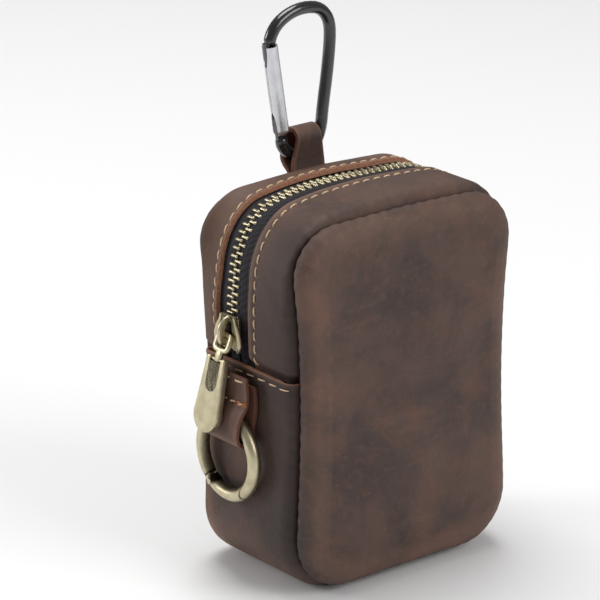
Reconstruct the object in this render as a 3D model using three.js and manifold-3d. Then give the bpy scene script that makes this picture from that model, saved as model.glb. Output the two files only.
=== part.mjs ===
// A small leather belt bag: a zipped pouch with a ring tab on its left side and a snap hook in its hang loop.
// Millimetres. The front faces -Y, X runs to the viewer's right and Z is up from the surface that the bag stands on.
import * as THREE from "three";
import { mergeVertices } from "three/addons/utils/BufferGeometryUtils.js";
import Module from "manifold-3d";

const wasm = await Module();
wasm.setup();

// Driving dimensions
const GAP = 0.3;
const LEATHER = 1.6;
const STRAP = 1.3;

// The pouch's outline in the XZ plane: a rounded rectangle, drawn in at the waist and raised at the crown.
const POUCH = {
  width: 80.5,
  height: 109.5,
  crown: 2.4,
  waist: 1.9,
  waistHeight: 0.53,
  topRadius: 16,
  baseRadius: 18.5,
};

// The left top corner gives way to the zip, so it is rounder along the zip than at the seams. The right one is fuller.
const CORNER = { seam: -1, zip: 2.1, backward: 0.06, right: -0.6, fall: 0.86, fromX: 8, toX: 40.5, fromZ: 78, toZ: 100.5 };

// The top gusset swells up a little in front of the zip.
const SWELL = { rise: 0.8, y: -3.8, reach: 17 };
const SIDE_HEIGHTS = { lower: [62, 40], upper: [62, 79], gusset: [65, 56, 38], strip: [60, 65.2, 68.6, 83] };
const CURVE_STEPS = { arc: 4, flat: 2 };

// The turned seams between the faces and the gusset, and the rolls either side of them.
const SEAM = { frontY: -20.7, backY: 19.8, inset: 3.4, flange: 3, rollDepth: 3.8 };
const FRONT_FACE = { lipInset: 1.8, lipDepth: 2.1, rollInset: 6.6, rollDepth: 4.6, dome: 1.2 };
const BACK_FACE = { lipInset: 1.7, lipDepth: 1.9, rollInset: 5.5, rollDepth: 1.6, dome: 0.6 };

// The upper gusset's zip, a little behind the middle of the pouch.
const ZIP = {
  y: 6.2,
  opening: 6.5,
  chainInset: 1.6,
  tapeStart: 3.1,
  tapeReach: 13,
  tapeThickness: 0.6,
  pitch: 2.31,
  toothLong: 0.95,
  toothAcross: 2.75,
  toothPastMiddle: 0.35,
  toothThick: 2.3,
  beadInner: 1.9,
  beadOuter: 2.8,
  beadThick: 1.5,
};
const FOLD = { height: 65, overlap: 5, dipLength: 3.4 };
const SLIDER = { height: 73.8, length: 10.4, plate: 1, channel: 1.5, shoulder: 4.95, mouth: 3.7, flangeAt: 3.15, bridgeRise: 2.9 };
const LINK = { width: 7.2, length: 7.2, wire: 1.5, stem: 2.6, lean: 25 };
const TONGUE = { length: 22.6, width: 10.8, topWidth: 8.4, thick: 2.1, slot: 4.4, slotDepth: 10.4, pin: 0.7, lean: 16.4 };

// The spring gate ring and its folded leather tab on the left side.
const RING = {
  x: -42.2,
  y: 3.6,
  z: 38.3,
  radius: 11.95,
  wire: 1.95,
  hingeAngle: 134,
  pivotAngle: 146,
  mouthAngle: 220.5,
  lug: 1.1,
  rivet: 0.7,
};
const TAB = { y: 3.6, foldWidth: 16.6, tackWidth: 19.4, topWidth: 18, foldZ: 42.4, tackZ: 55, topZ: 63.4 };

// The hang loop in the back seam and the snap hook that it holds.
const LOOP = { y: 22.9, width: 11.7, bendLeft: -3.7, bendRight: 5, bendZ: 119.6, bendRadius: 2.2, thick: 1.5, tailZ: 104.5 };
const HOOK = { y: 22.9, rod: 1.8, gate: 2.3, lug: 1.5, pivotX: -7.2, pivotZ: 123.2, noseX: -11.1, noseZ: 148.6, rivet: 0.75 };

// Materials
const finish = (color, roughness, metalness) => () => new THREE.MeshStandardMaterial({ color, roughness, metalness });
const brownLeather = finish(0x55443e, 0.7, 0);
const strapLeather = finish(0x5c4438, 0.72, 0);
const zipTape = finish(0x1c1a20, 0.9, 0);
const antiqueBrass = finish(0xb5ab92, 0.35, 1);
const blackEnamel = finish(0x101013, 0.25, 0.3);
const brightSteel = finish(0xc9c9cc, 0.3, 1);

const { PI, sin, cos, min, max, hypot } = Math;
const radians = THREE.MathUtils.degToRad;
const lerp = THREE.MathUtils.lerp;
const smoothstep = THREE.MathUtils.smoothstep;
const halfWidth = POUCH.width / 2;

// How far the waist draws the sides in at a height.
function waistAt(z) {
  const share = THREE.MathUtils.clamp(z / POUCH.height - POUCH.waistHeight + 0.5, 0, 1);
  return POUCH.waist * sin(PI * share) ** 2;
}

// How far the top corner of one side is pushed in at a depth.
function cornerAt(x, y) {
  if (x > 0) return CORNER.right;
  const depth = THREE.MathUtils.clamp(y, SEAM.frontY, SEAM.backY);
  const share = (2 * depth - SEAM.frontY - SEAM.backY) / (SEAM.backY - SEAM.frontY);
  return lerp(CORNER.zip + CORNER.backward * depth, CORNER.seam, share ** 8);
}

// Puts a point of the plain rounded outline where the waist, the crown, the swell and the corners move it.
function shaped(x, y, z) {
  const crown = POUCH.crown + SWELL.rise * max(1 - ((y - SWELL.y) / SWELL.reach) ** 2, 0);
  const rise = crown * (1 - (x / halfWidth) ** 2) * smoothstep(z / POUCH.height, 0.5, 1);
  const inCorner = smoothstep(Math.abs(x), CORNER.fromX, CORNER.toX) * smoothstep(z, CORNER.fromZ, CORNER.toZ);
  const push = cornerAt(x, y) * inCorner;
  return new THREE.Vector3(
    x * (1 - waistAt(z) / halfWidth) - Math.sign(x) * push, y, z + rise - CORNER.fall * push);
}

// Half of the outline at an inset, over the top or under the base. It starts and ends at the first of the side heights.
function halfOutline(inset, upper, sideHeights, steps = CURVE_STEPS) {
  const turn = upper ? 1 : -1;
  const radius = max((upper ? POUCH.topRadius : POUCH.baseRadius) - inset, 1);
  const side = inset - halfWidth;
  const centreZ = (upper ? POUCH.height - inset : inset) - turn * radius;
  const left = sideHeights.map((z) => [side, z]);
  for (let k = 0; k <= steps.arc; k++) {
    const angle = PI - (turn * PI * k) / steps.arc / 2;
    left.push([side + radius + radius * cos(angle), centreZ + radius * sin(angle)]);
  }
  for (let k = 1; k <= steps.flat; k++) {
    left.push([(side + radius) * (1 - k / steps.flat), centreZ + turn * radius]);
  }
  const right = left.slice(0, -1).reverse();
  return [...left, ...right.map(([x, z]) => [-x, z])];
}

// The whole outline at an inset, as one closed row.
function wholeOutline(inset) {
  const lower = halfOutline(inset, false, SIDE_HEIGHTS.lower);
  const upper = halfOutline(inset, true, SIDE_HEIGHTS.upper);
  return [...lower, ...upper.slice(1, -1).reverse()];
}

// The other face of a sheet whose profile runs through [inset, y] points, a thickness to its right.
function thickened(profile, thickness) {
  return profile.map((point, k) => {
    const before = profile[max(k - 1, 0)];
    const after = profile[min(k + 1, profile.length - 1)];
    const normals = [[before, point], [point, after]]
      .map(([a, b]) => [b[1] - a[1], a[0] - b[0]])
      .filter((n) => hypot(...n) > 1e-6)
      .map((n) => n.map((v) => v / hypot(...n)));
    const sum = [0, 1].map((axis) => normals.reduce((total, n) => total + n[axis], 0) / normals.length);
    const scale = thickness / max(sum[0] ** 2 + sum[1] ** 2, 0.5);
    return [point[0] + sum[0] * scale, point[1] + sum[1] * scale];
  });
}

// A quarter of an ellipse from one point to another, leaving the first one along the first axis.
function quarterRoll(from, to, steps) {
  return Array.from({ length: steps }, (_, k) => {
    const angle = ((k + 1) / steps) * (PI / 2);
    return [lerp(from[0], to[0], sin(angle)), lerp(from[1], to[1], 1 - cos(angle))];
  });
}

// The same, leaving the first point along the second axis.
function quarterRollAcross(from, to, steps) {
  return quarterRoll([from[1], from[0]], [to[1], to[0]], steps).map(([y, inset]) => [inset, y]);
}

// Turns a triangle list into a closed geometry whose faces point outwards.
function closedGeometry(points, faces) {
  const raw = new THREE.BufferGeometry().setFromPoints(points).setIndex(faces);
  const merged = mergeVertices(raw, 1e-4);
  const index = merged.index.array;
  const kept = [];
  for (let k = 0; k < index.length; k += 3) {
    const [a, b, c] = index.slice(k, k + 3);
    if (a !== b && b !== c && c !== a) kept.push(a, b, c);
  }
  const corner = (n) => new THREE.Vector3().fromBufferAttribute(merged.attributes.position, n);
  let volume = 0;
  for (let k = 0; k < kept.length; k += 3) {
    volume += corner(kept[k]).dot(corner(kept[k + 1]).cross(corner(kept[k + 2])));
  }
  merged.setIndex(volume < 0 ? kept.reverse() : kept);
  merged.computeVertexNormals();
  return merged;
}

// A closed sheet between an outer and an inner grid of points. Rows run along the sheet, and a looped one has no ends.
function sheet(outer, inner, looped = false) {
  const rows = outer.length;
  const columns = outer[0].length;
  const at = (face, row, column) => (face * rows + (row % rows)) * columns + column;
  const faces = [];
  const quad = (a, b, c, d) => faces.push(a, b, c, a, c, d);
  const last = columns - 1;
  for (let i = 0; i < (looped ? rows : rows - 1); i++) {
    for (let j = 0; j < last; j++) {
      quad(at(0, i, j), at(0, i + 1, j), at(0, i + 1, j + 1), at(0, i, j + 1));
      quad(at(1, i, j), at(1, i, j + 1), at(1, i + 1, j + 1), at(1, i + 1, j));
    }
    quad(at(0, i, 0), at(1, i, 0), at(1, i + 1, 0), at(0, i + 1, 0));
    quad(at(0, i, last), at(0, i + 1, last), at(1, i + 1, last), at(1, i, last));
  }
  for (let j = 0; j < last && !looped; j++) {
    quad(at(0, 0, j), at(0, 0, j + 1), at(1, 0, j + 1), at(1, 0, j));
    quad(at(0, rows - 1, j), at(1, rows - 1, j), at(1, rows - 1, j + 1), at(0, rows - 1, j + 1));
  }
  return closedGeometry([...outer.flat(), ...inner.flat()], faces);
}

// A band of leather or tape that follows half of the outline with an [inset, y] profile. It may dip inwards by height.
function band(profile, thickness, upper, sideHeights, dip = () => 0, steps = CURVE_STEPS) {
  const heights = halfOutline(0, upper, sideHeights, steps).map(([, z]) => z);
  const grid = (depth) => heights.map((height, row) =>
    thickened(profile, dip(height) + depth).map(([inset, y]) => {
      const [x, z] = halfOutline(inset, upper, sideHeights, steps)[row];
      return shaped(x, y, z);
    }));
  return sheet(grid(0), grid(thickness));
}

// Manifold-3d solids, for the pieces that are cut or joined
function solid(geometry) {
  const plain = geometry.clone();
  plain.deleteAttribute("normal");
  plain.deleteAttribute("uv");
  const merged = mergeVertices(plain, 1e-4);
  return new wasm.Manifold(new wasm.Mesh({
    numProp: 3,
    vertProperties: merged.attributes.position.array,
    triVerts: new Uint32Array(merged.index.array),
  }));
}

function geometryOf(made) {
  const { vertProperties, triVerts } = made.getMesh();
  const geometry = new THREE.BufferGeometry();
  geometry.setAttribute("position", new THREE.BufferAttribute(vertProperties, 3));
  geometry.setIndex(new THREE.BufferAttribute(triVerts, 1));
  geometry.computeVertexNormals();
  return geometry;
}

const joined = (...geometries) => geometries.map(solid).reduce((a, b) => a.add(b));
const box = (width, depth, height, x = 0, y = 0, z = 0) => new THREE.BoxGeometry(width, depth, height).translate(x, y, z);

// A round bar along X, Y or Z, centred on the origin.
function bar(radius, length, axis, sides = 12) {
  const geometry = new THREE.CylinderGeometry(radius, radius, length, sides);
  if (axis === "x") geometry.rotateZ(PI / 2);
  if (axis === "z") geometry.rotateX(PI / 2);
  return geometry;
}

// A plate with a drawn outline, centred on its thickness.
function plate(shape, thickness, curveSegments = 5) {
  return new THREE.ExtrudeGeometry(shape, { depth: thickness, bevelEnabled: false, curveSegments })
    .translate(0, 0, -thickness / 2);
}

// A round rod along a curve.
function rod(curve, radius, steps, sides = 12) {
  const section = new THREE.Shape(Array.from({ length: sides }, (_, k) => {
    const angle = (2 * PI * (k + 0.5)) / sides;
    return new THREE.Vector2(radius * cos(angle), radius * sin(angle));
  }));
  return new THREE.ExtrudeGeometry(section, { steps, extrudePath: curve, bevelEnabled: false });
}

const group = new THREE.Group();

function add(name, geometry, material, parent = group) {
  const mesh = new THREE.Mesh(geometry, material());
  mesh.name = name;
  parent.add(mesh);
  return mesh;
}

// The two faces: a flange in the seam, a lip that rolls over it, a roll to the flat and a low dome.
function faceGeometry(seamY, size) {
  const out = Math.sign(seamY);
  const start = [SEAM.inset + 0.5, seamY + (out * GAP) / 2];
  const lip = [start[0] - size.lipInset, start[1] + out * size.lipDepth];
  const flat = [lip[0] + size.rollInset, lip[1] + out * size.rollDepth];
  const profile = [
    [start[0] + SEAM.flange, start[1]],
    start,
    ...quarterRoll(start, lip, 2),
    ...quarterRollAcross(lip, flat, 2),
  ];
  const grid = (points) => {
    const columns = points.map(([inset, y]) => wholeOutline(inset).map(([x, z]) => [x, y, z]));
    const edge = columns[columns.length - 1];
    for (const share of [0.6, 0]) {
      const rise = out * size.dome * (1 - share ** 2);
      columns.push(edge.map(([x, y, z]) => [x * share, y + rise, lerp(POUCH.height / 2, z, share)]));
    }
    return edge.map((_, row) => columns.map((column) => shaped(...column[row])));
  };
  return sheet(grid(profile), grid(thickened(profile, out * LEATHER)), true);
}

// The gusset's profile at one seam: a flange, then a roll on to the side.
function seamRoll(seamY, steps) {
  const out = Math.sign(seamY);
  const y = seamY - (out * GAP) / 2;
  const start = [SEAM.inset, y];
  return [[start[0] + SEAM.flange, y], start, ...quarterRoll(start, [0, y - out * SEAM.rollDepth], steps)];
}

// The loop's outer or inner face in the YZ plane, as a closed path with a round bend at the top.
function loopPath(path, radius, front, back) {
  path.moveTo(...front[0]);
  front.slice(1).forEach((point) => path.lineTo(...point));
  path.absarc(LOOP.y, LOOP.bendZ, radius, PI, 0, true);
  back.forEach((point) => path.lineTo(...point));
  path.closePath();
  return path;
}

// The hang loop: a teardrop of strap whose two ends go down into the back seam. It narrows towards its bend.
function loopGeometry() {
  const outerRadius = LOOP.bendRadius + LOOP.thick;
  const front = LOOP.y - outerRadius;
  const back = LOOP.y + outerRadius;
  const shape = loopPath(new THREE.Shape(), outerRadius,
    [[18.2, LOOP.tailZ], [18.2, 109.2], [front - 0.1, 112]],
    [[back, 114.8], [24.8, 111.5], [21.4, 110], [21.4, LOOP.tailZ]]);
  const hole = loopPath(new THREE.Path(), LOOP.bendRadius,
    [[front + LOOP.thick + 0.1, 111.7]],
    [[back - LOOP.thick, 114.6], [23.7, 112.5], [21.4, 111.5]]);
  shape.holes.push(new THREE.Path(hole.getPoints(8).reverse()));
  const geometry = new THREE.ExtrudeGeometry(shape, { depth: 1, steps: 2, bevelEnabled: false, curveSegments: 8 });
  const position = geometry.attributes.position;
  for (let k = 0; k < position.count; k++) {
    const [y, z, across] = [position.getX(k), position.getY(k), position.getZ(k)];
    const taper = smoothstep(z, 111, 121.5);
    const left = lerp(-LOOP.width / 2, LOOP.bendLeft, taper);
    const right = lerp(LOOP.width / 2, LOOP.bendRight, taper);
    position.setXYZ(k, lerp(left, right, across), y, z);
  }
  return geometry;
}

const tailSlot = box(LOOP.width + 2 * GAP, 3.2 + 2 * GAP, 12, 0, 19.8, 108.5);

// The pouch's leather
const frontFace = faceGeometry(SEAM.frontY, FRONT_FACE);
const backFace = faceGeometry(SEAM.backY, BACK_FACE);
add("front_panel", frontFace, brownLeather);
add("back_panel", geometryOf(solid(backFace).subtract(solid(tailSlot))), brownLeather);

const lowerProfile = [
  ...seamRoll(SEAM.frontY, 2),
  [0, lerp(SEAM.frontY, SEAM.backY, 0.4)],
  [0, lerp(SEAM.frontY, SEAM.backY, 0.6)],
  ...seamRoll(SEAM.backY, 2).reverse(),
];
add("lower_gusset", band(lowerProfile, LEATHER, false, SIDE_HEIGHTS.gusset), brownLeather);

// The strips and tapes dip behind the lower gusset's folded edge.
const dip = (z) => (LEATHER + GAP) * (1 - smoothstep(z, FOLD.height + 0.2, FOLD.height + FOLD.dipLength));
const frontStrip = band(
  [...seamRoll(SEAM.frontY, 2), [0, ZIP.y - ZIP.tapeReach], [0, ZIP.y - ZIP.opening]],
  LEATHER, true, SIDE_HEIGHTS.strip, dip);
add("front_strip", frontStrip, brownLeather);
const backStrip = band(
  [[0, ZIP.y + ZIP.opening], ...seamRoll(SEAM.backY, 2).reverse()],
  LEATHER, true, SIDE_HEIGHTS.strip, dip);
add("back_strip", geometryOf(solid(backStrip).subtract(solid(tailSlot))), brownLeather);
add("hang_loop", loopGeometry(), strapLeather);

// The zip's tapes run from the teeth to under the strips.
const underStrip = LEATHER + GAP;
const tapeRise = ZIP.chainInset - ZIP.tapeThickness / 2;
for (const [name, side, reach] of [["front", -1, ZIP.tapeReach], ["back", 1, ZIP.tapeReach - 4]]) {
  const profile = [[tapeRise, ZIP.tapeStart], [underStrip, ZIP.opening - 0.9], [underStrip, reach]]
    .map(([inset, across]) => [inset, ZIP.y + side * across]);
  const ordered = side > 0 ? profile : profile.reverse();
  add("tape_" + name, band(ordered, ZIP.tapeThickness, true, SIDE_HEIGHTS.strip, dip), zipTape);
}

// The chain's middle line, as stations with their tangent and the distance along it, from the slider to the right end.
function chainStations() {
  const line = halfOutline(ZIP.chainInset, true, [SLIDER.height + 2.6], { arc: 24, flat: 12 })
    .map(([x, z]) => shaped(x, ZIP.y, z));
  const rightEnd = shaped(halfWidth - ZIP.chainInset, ZIP.y, FOLD.height + 4);
  line.push(rightEnd);
  let distance = 0;
  return line.map((point, k) => {
    if (k) distance += point.distanceTo(line[k - 1]);
    const tangent = line[min(k + 1, line.length - 1)].clone().sub(line[max(k - 1, 0)]).normalize();
    return { point, tangent, distance };
  });
}

// One row of teeth, each crimped on to the bead at the tape's edge.
function teethGeometry(side, offset) {
  const stations = chainStations();
  const length = stations[stations.length - 1].distance;
  const beadY = [ZIP.beadInner, ZIP.beadOuter].map((across) => ZIP.y + side * across).sort((a, b) => a - b);
  const bead = band(
    beadY.map((y) => [ZIP.chainInset - ZIP.beadThick / 2, y]),
    ZIP.beadThick, true, [FOLD.height + 4, SLIDER.height + 2.6], undefined, { arc: 5, flat: 2 });
  const row = [solid(bead)];
  for (let s = 0.8 + offset; s < length - 0.6; s += ZIP.pitch) {
    const next = stations.findIndex((station) => station.distance >= s);
    const [a, b] = [stations[max(next - 1, 0)], stations[max(next, 1)]];
    const share = (s - a.distance) / (b.distance - a.distance);
    const tangent = a.tangent.clone().lerp(b.tangent, share).normalize();
    const across = new THREE.Vector3(0, side, 0);
    const normal = tangent.clone().cross(across);
    const middle = ZIP.toothAcross / 2 - ZIP.toothPastMiddle;
    const place = new THREE.Matrix4().makeBasis(tangent, across, normal)
      .setPosition(a.point.clone().lerp(b.point, share).addScaledVector(across, middle));
    row.push(solid(box(ZIP.toothLong, ZIP.toothAcross, ZIP.toothThick).applyMatrix4(place)));
  }
  const cut = box(12, 8, SLIDER.height + 2.4 - FOLD.height, -halfWidth, ZIP.y, (SLIDER.height + 2.4 + FOLD.height) / 2);
  return geometryOf(wasm.Manifold.union(row).subtract(solid(cut)));
}

add("teeth_front", teethGeometry(-1, 0), antiqueBrass);
add("teeth_back", teethGeometry(1, ZIP.pitch / 2), antiqueBrass);

// The slider's frame: x runs to the front of the bag, y up along the chain and z out from it.
const sliderGroup = new THREE.Group();
const chainAt = (z) => shaped(ZIP.chainInset - halfWidth, ZIP.y, z);
const chainSlope = chainAt(SLIDER.height + 4).sub(chainAt(SLIDER.height - 4)).normalize();
const outwards = new THREE.Vector3(0, -1, 0).cross(chainSlope);
new THREE.Matrix4().makeBasis(new THREE.Vector3(0, -1, 0), chainSlope, outwards)
  .setPosition(chainAt(SLIDER.height))
  .decompose(sliderGroup.position, sliderGroup.quaternion, sliderGroup.scale);
group.add(sliderGroup);

// The slider's plan: a narrow mouth at the top, round shoulders and a notch between the two lobes.
function sliderShape() {
  const end = SLIDER.length / 2;
  const { shoulder, mouth } = SLIDER;
  const shape = new THREE.Shape().moveTo(0, end);
  shape.lineTo(mouth - 0.9, end).quadraticCurveTo(mouth, end, mouth, end - 1);
  shape.bezierCurveTo(mouth, 1.2, shoulder, 0.6, shoulder, -2);
  shape.quadraticCurveTo(shoulder - 0.2, -end, shoulder - 2.2, -end);
  shape.quadraticCurveTo(1.5, 0.4 - end, 1, 1.6 - end).lineTo(-1, 1.6 - end);
  shape.quadraticCurveTo(-1.5, 0.4 - end, 2.2 - shoulder, -end);
  shape.quadraticCurveTo(0.2 - shoulder, -end, -shoulder, -2);
  shape.bezierCurveTo(-shoulder, 0.6, -mouth, 1.2, -mouth, end - 1);
  shape.quadraticCurveTo(-mouth, end, 0.9 - mouth, end);
  return shape;
}

// The arch over the slider's outer plate, with the hole that the link hangs in.
function bridgeGeometry(base) {
  const top = base + SLIDER.bridgeRise;
  const shape = new THREE.Shape().moveTo(-2.6, base - 0.4).lineTo(-2.6, top - 1.4);
  shape.quadraticCurveTo(-2.4, top, -0.8, top).lineTo(1.6, top).quadraticCurveTo(3.9, top - 0.2, 4.3, base - 0.4);
  const hole = new THREE.Path().moveTo(-1.4, base + 0.02).lineTo(2.8, base + 0.02).lineTo(2, top - 1);
  hole.lineTo(-1.1, top - 1).lineTo(-1.4, top - 1.3).closePath();
  shape.holes.push(hole);
  return plate(shape, 2.8, 4).rotateZ(PI / 2).rotateY(PI / 2);
}

const plateTop = SLIDER.channel + SLIDER.plate;
const sliderParts = [
  plate(sliderShape(), SLIDER.plate, 3).translate(0, 0, SLIDER.channel + SLIDER.plate / 2),
  plate(sliderShape(), SLIDER.plate, 3).translate(0, 0, -SLIDER.channel - SLIDER.plate / 2),
  box(1.5, 2.4, 2 * SLIDER.channel + 0.6, 0, -2.2, 0),
  bridgeGeometry(plateTop),
];
const flangeWide = SLIDER.mouth - SLIDER.flangeAt;
for (const side of [-1, 1]) {
  for (const face of [-1, 1]) {
    const x = side * (SLIDER.flangeAt + flangeWide / 2);
    sliderParts.push(box(flangeWide, 5.6, 0.9, x, 1.6, face * (SLIDER.channel - 0.3)));
  }
}
add("slider", geometryOf(joined(...sliderParts)), antiqueBrass, sliderGroup);

// The link hangs in the bridge's hole. Its own frame starts on its top bar, which is its hinge.
const linkGroup = new THREE.Group();
linkGroup.position.set(0, -0.45, plateTop + LINK.wire / 2 + 0.1);
linkGroup.rotation.x = -radians(LINK.lean);
sliderGroup.add(linkGroup);
const legX = (LINK.width - LINK.wire) / 2;
const linkParts = [
  bar(LINK.wire / 2, LINK.width - 0.4, "x", 10),
  box(LINK.wire, 5, LINK.wire, -legX, -2.5, 0),
  box(LINK.wire, 5, LINK.wire, legX, -2.5, 0),
  box(LINK.width, 1.5, LINK.wire, 0, -4.7, 0),
  box(LINK.stem, LINK.length - 4, LINK.wire, 0, -(LINK.length + 5.6) / 2, 0),
  bar(TONGUE.pin - 0.2, TONGUE.topWidth - 1.2, "x", 10).translate(0, -LINK.length - 0.4, 0),
];
add("pull_link", geometryOf(joined(...linkParts)), antiqueBrass, linkGroup);

// The slotted tongue hangs on the link's cross pin.
function tongueShape() {
  const half = TONGUE.width / 2;
  const top = TONGUE.topWidth / 2;
  const lowest = 1.6 - TONGUE.length;
  const slot = TONGUE.slot / 2;
  const slotEnd = 1.6 - TONGUE.slotDepth + slot;
  const shape = new THREE.Shape().moveTo(-slot, 1.6).lineTo(-top, 1.6);
  shape.lineTo(-half, lowest + half).absarc(0, lowest + half, half, PI, 2 * PI, false);
  shape.lineTo(top, 1.6).lineTo(slot, 1.6).lineTo(slot, slotEnd);
  shape.absarc(0, slotEnd, slot, 0, -PI, true);
  return shape;
}

const tongueGroup = new THREE.Group();
tongueGroup.position.set(0, -LINK.length - 0.4, 0);
tongueGroup.rotation.x = radians(LINK.lean - TONGUE.lean);
linkGroup.add(tongueGroup);
const tongue = solid(plate(tongueShape(), TONGUE.thick, 8))
  .subtract(solid(bar(TONGUE.pin, TONGUE.topWidth - 0.7, "x", 10)));
add("pull_tongue", geometryOf(tongue), antiqueBrass, tongueGroup);

// The tab: a strap that runs down over the gusset, round the ring and up behind it.
function tabGeometry() {
  const rear = RING.x + RING.wire + 0.25;
  const front = RING.x - RING.wire - 0.25;
  const radius = (rear - front) / 2;
  const bendZ = TAB.foldZ + STRAP + radius;
  const inner = [
    [rear - 1.2, TAB.topZ - 3],
    [rear - 0.1, TAB.tackZ - 1],
    [rear, bendZ],
    ...Array.from({ length: 5 }, (_, k) => {
      const angle = (-(k + 1) * PI) / 6;
      return [RING.x + radius * cos(angle), bendZ + radius * sin(angle)];
    }),
    [front, bendZ],
    [front, TAB.tackZ - 4],
    [rear - STRAP - 0.2, TAB.tackZ + 1.8],
    [rear - STRAP - 0.2, TAB.topZ],
  ].map(([x, z]) => [x, z]);
  inner[0][0] = rear;
  const grid = (points) => points.map(([x, z], k) => {
    const low = smoothstep(z, bendZ, TAB.tackZ);
    const high = smoothstep(z, TAB.tackZ, TAB.topZ);
    const wide = lerp(lerp(TAB.foldWidth, TAB.tackWidth, low), TAB.topWidth, high) / 2;
    return [-1, -0.5, 0, 0.5, 1].map((share) => new THREE.Vector3(x, TAB.y + share * wide, z));
  });
  return sheet(grid(thickened(inner, -STRAP)), grid(inner));
}
add("side_tab", tabGeometry(), strapLeather);

// The ring's frame: its angle runs from the top towards the back of the bag.
class RingArc extends THREE.Curve {
  constructor(from, to) {
    super();
    this.from = radians(from);
    this.to = radians(to);
  }

  getPoint(share, target = new THREE.Vector3()) {
    const angle = lerp(this.from, this.to, share);
    return target.set(0, RING.radius * sin(angle), RING.radius * cos(angle));
  }
}

const ringGroup = new THREE.Group();
ringGroup.position.set(RING.x, RING.y, RING.z);
group.add(ringGroup);
const jointGap = 1.6;
const atRingAngle = (geometry, angle) => geometry.translate(0, 0, RING.radius).rotateX(-radians(angle));
const ringPin = (radius) => solid(atRingAngle(bar(radius, 2 * RING.wire + 1, "x", 10), RING.pivotAngle));
const lugAngle = (RING.hingeAngle + RING.pivotAngle) / 2 + 1;
const lug = atRingAngle(box(RING.lug, 4.6, 2.4), lugAngle);
// The mouth is cut upright and not along a radius, and the gate's inner corner at the hinge is round, so it can swing in.
const mouthY = RING.radius * sin(radians(RING.mouthAngle));
const mouthSide = (side) => solid(box(6, 5, 14, 0, mouthY + side * (2.5 - GAP / 2), 1 - RING.radius));
const hingeCorner = solid(atRingAngle(box(6, 4, 4, 0, -2, -2), RING.pivotAngle))
  .subtract(solid(atRingAngle(bar(2.1, 7, "x", 16), RING.pivotAngle)));
const ringBody = joined(rod(new RingArc(RING.mouthAngle - 368, RING.hingeAngle), RING.wire, 20, 10), lug)
  .subtract(mouthSide(1))
  .subtract(ringPin(RING.rivet + 0.2));
add("ring_body", geometryOf(ringBody), antiqueBrass, ringGroup);
const gateArc = new RingArc(RING.hingeAngle + jointGap, RING.mouthAngle + 14);
const ringGate = solid(rod(gateArc, RING.wire, 8, 10))
  .subtract(mouthSide(-1))
  .subtract(hingeCorner)
  .subtract(solid(atRingAngle(box(RING.lug + 0.7, 5.8, 6), lugAngle)))
  .subtract(ringPin(RING.rivet + 0.2));
add("ring_gate", geometryOf(ringGate), antiqueBrass, ringGroup);
const rivet = atRingAngle(bar(RING.rivet, 2 * RING.wire - 0.1, "x", 10), RING.pivotAngle);
add("ring_rivet", rivet, antiqueBrass, ringGroup);

// The snap hook. Its gate's frame starts at the hinge, and z runs along the gate to the nose.
const hookTilt = Math.atan2(HOOK.noseX - HOOK.pivotX, HOOK.noseZ - HOOK.pivotZ);
const gateLength = hypot(HOOK.noseX - HOOK.pivotX, HOOK.noseZ - HOOK.pivotZ);
const inGateFrame = (geometry) => geometry.rotateY(hookTilt).translate(HOOK.pivotX, HOOK.y, HOOK.pivotZ);
const hookLine = new THREE.CatmullRomCurve3([
  [HOOK.noseX, HOOK.noseZ + 0.4],
  [-10.4, 151.2],
  [-7.4, 154],
  [-3, 156.2],
  [2, 156.9],
  [6.8, 155.3],
  [9.7, 151.8],
  [10.4, 147.4],
  [9.4, 137],
  [7.9, 127],
  [7.1, 121.5],
  [5.2, 117.4],
  [1.9, 115.3],
  [-1.9, 115.1],
  [-5, 116.6],
  [HOOK.pivotX + 0.4, 118.7],
  [HOOK.pivotX, HOOK.pivotZ - HOOK.gate - GAP],
].map(([x, z]) => new THREE.Vector3(x, HOOK.y, z)), false, "centripetal");
const noseTab = inGateFrame(box(1.7, HOOK.lug, 7, -1.2, 0, gateLength - 2.6));
const hingeLug = inGateFrame(box(2.8, HOOK.lug, 7.4, -0.5, 0, 0));
const hookPin = (radius) => bar(radius, 2 * HOOK.gate - 0.3, "y", 10).translate(HOOK.pivotX, HOOK.y, HOOK.pivotZ);
const hookBody = joined(rod(hookLine, HOOK.rod, 30, 10), noseTab, hingeLug).subtract(solid(hookPin(HOOK.rivet + 0.2)));
add("carabiner_body", geometryOf(hookBody), blackEnamel);

const gateTube = inGateFrame(bar(HOOK.gate, gateLength - GAP, "z", 12).translate(0, 0, (gateLength - GAP) / 2));
const gateKnuckle = inGateFrame(bar(HOOK.gate, 2 * HOOK.gate - 0.2, "y", 12));
const slotWide = HOOK.lug + 2 * GAP;
const hookGate = joined(gateTube, gateKnuckle)
  .intersect(solid(inGateFrame(bar(HOOK.gate, 2 * gateLength, "z", 12))))
  .subtract(solid(inGateFrame(box(4.4, slotWide, 10.4, -0.4, 0, 0))))
  .subtract(solid(inGateFrame(box(4, slotWide, 7, -2, 0, gateLength - 2.9))))
  .subtract(solid(hookPin(HOOK.rivet + 0.2)));
add("carabiner_gate", geometryOf(hookGate), brightSteel);
add("carabiner_rivet", hookPin(HOOK.rivet), brightSteel);

export default group;
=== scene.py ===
"""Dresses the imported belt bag: waxed leather, a metal zip, a spring gate ring, a snap hook and a studio.

Sizes are in millimetres until a mesh is made. The bag's front faces -Y and Z is up from the floor.
"""

import logging
import math
from dataclasses import dataclass, field
from enum import Enum
from typing import Sequence, Union

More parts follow.
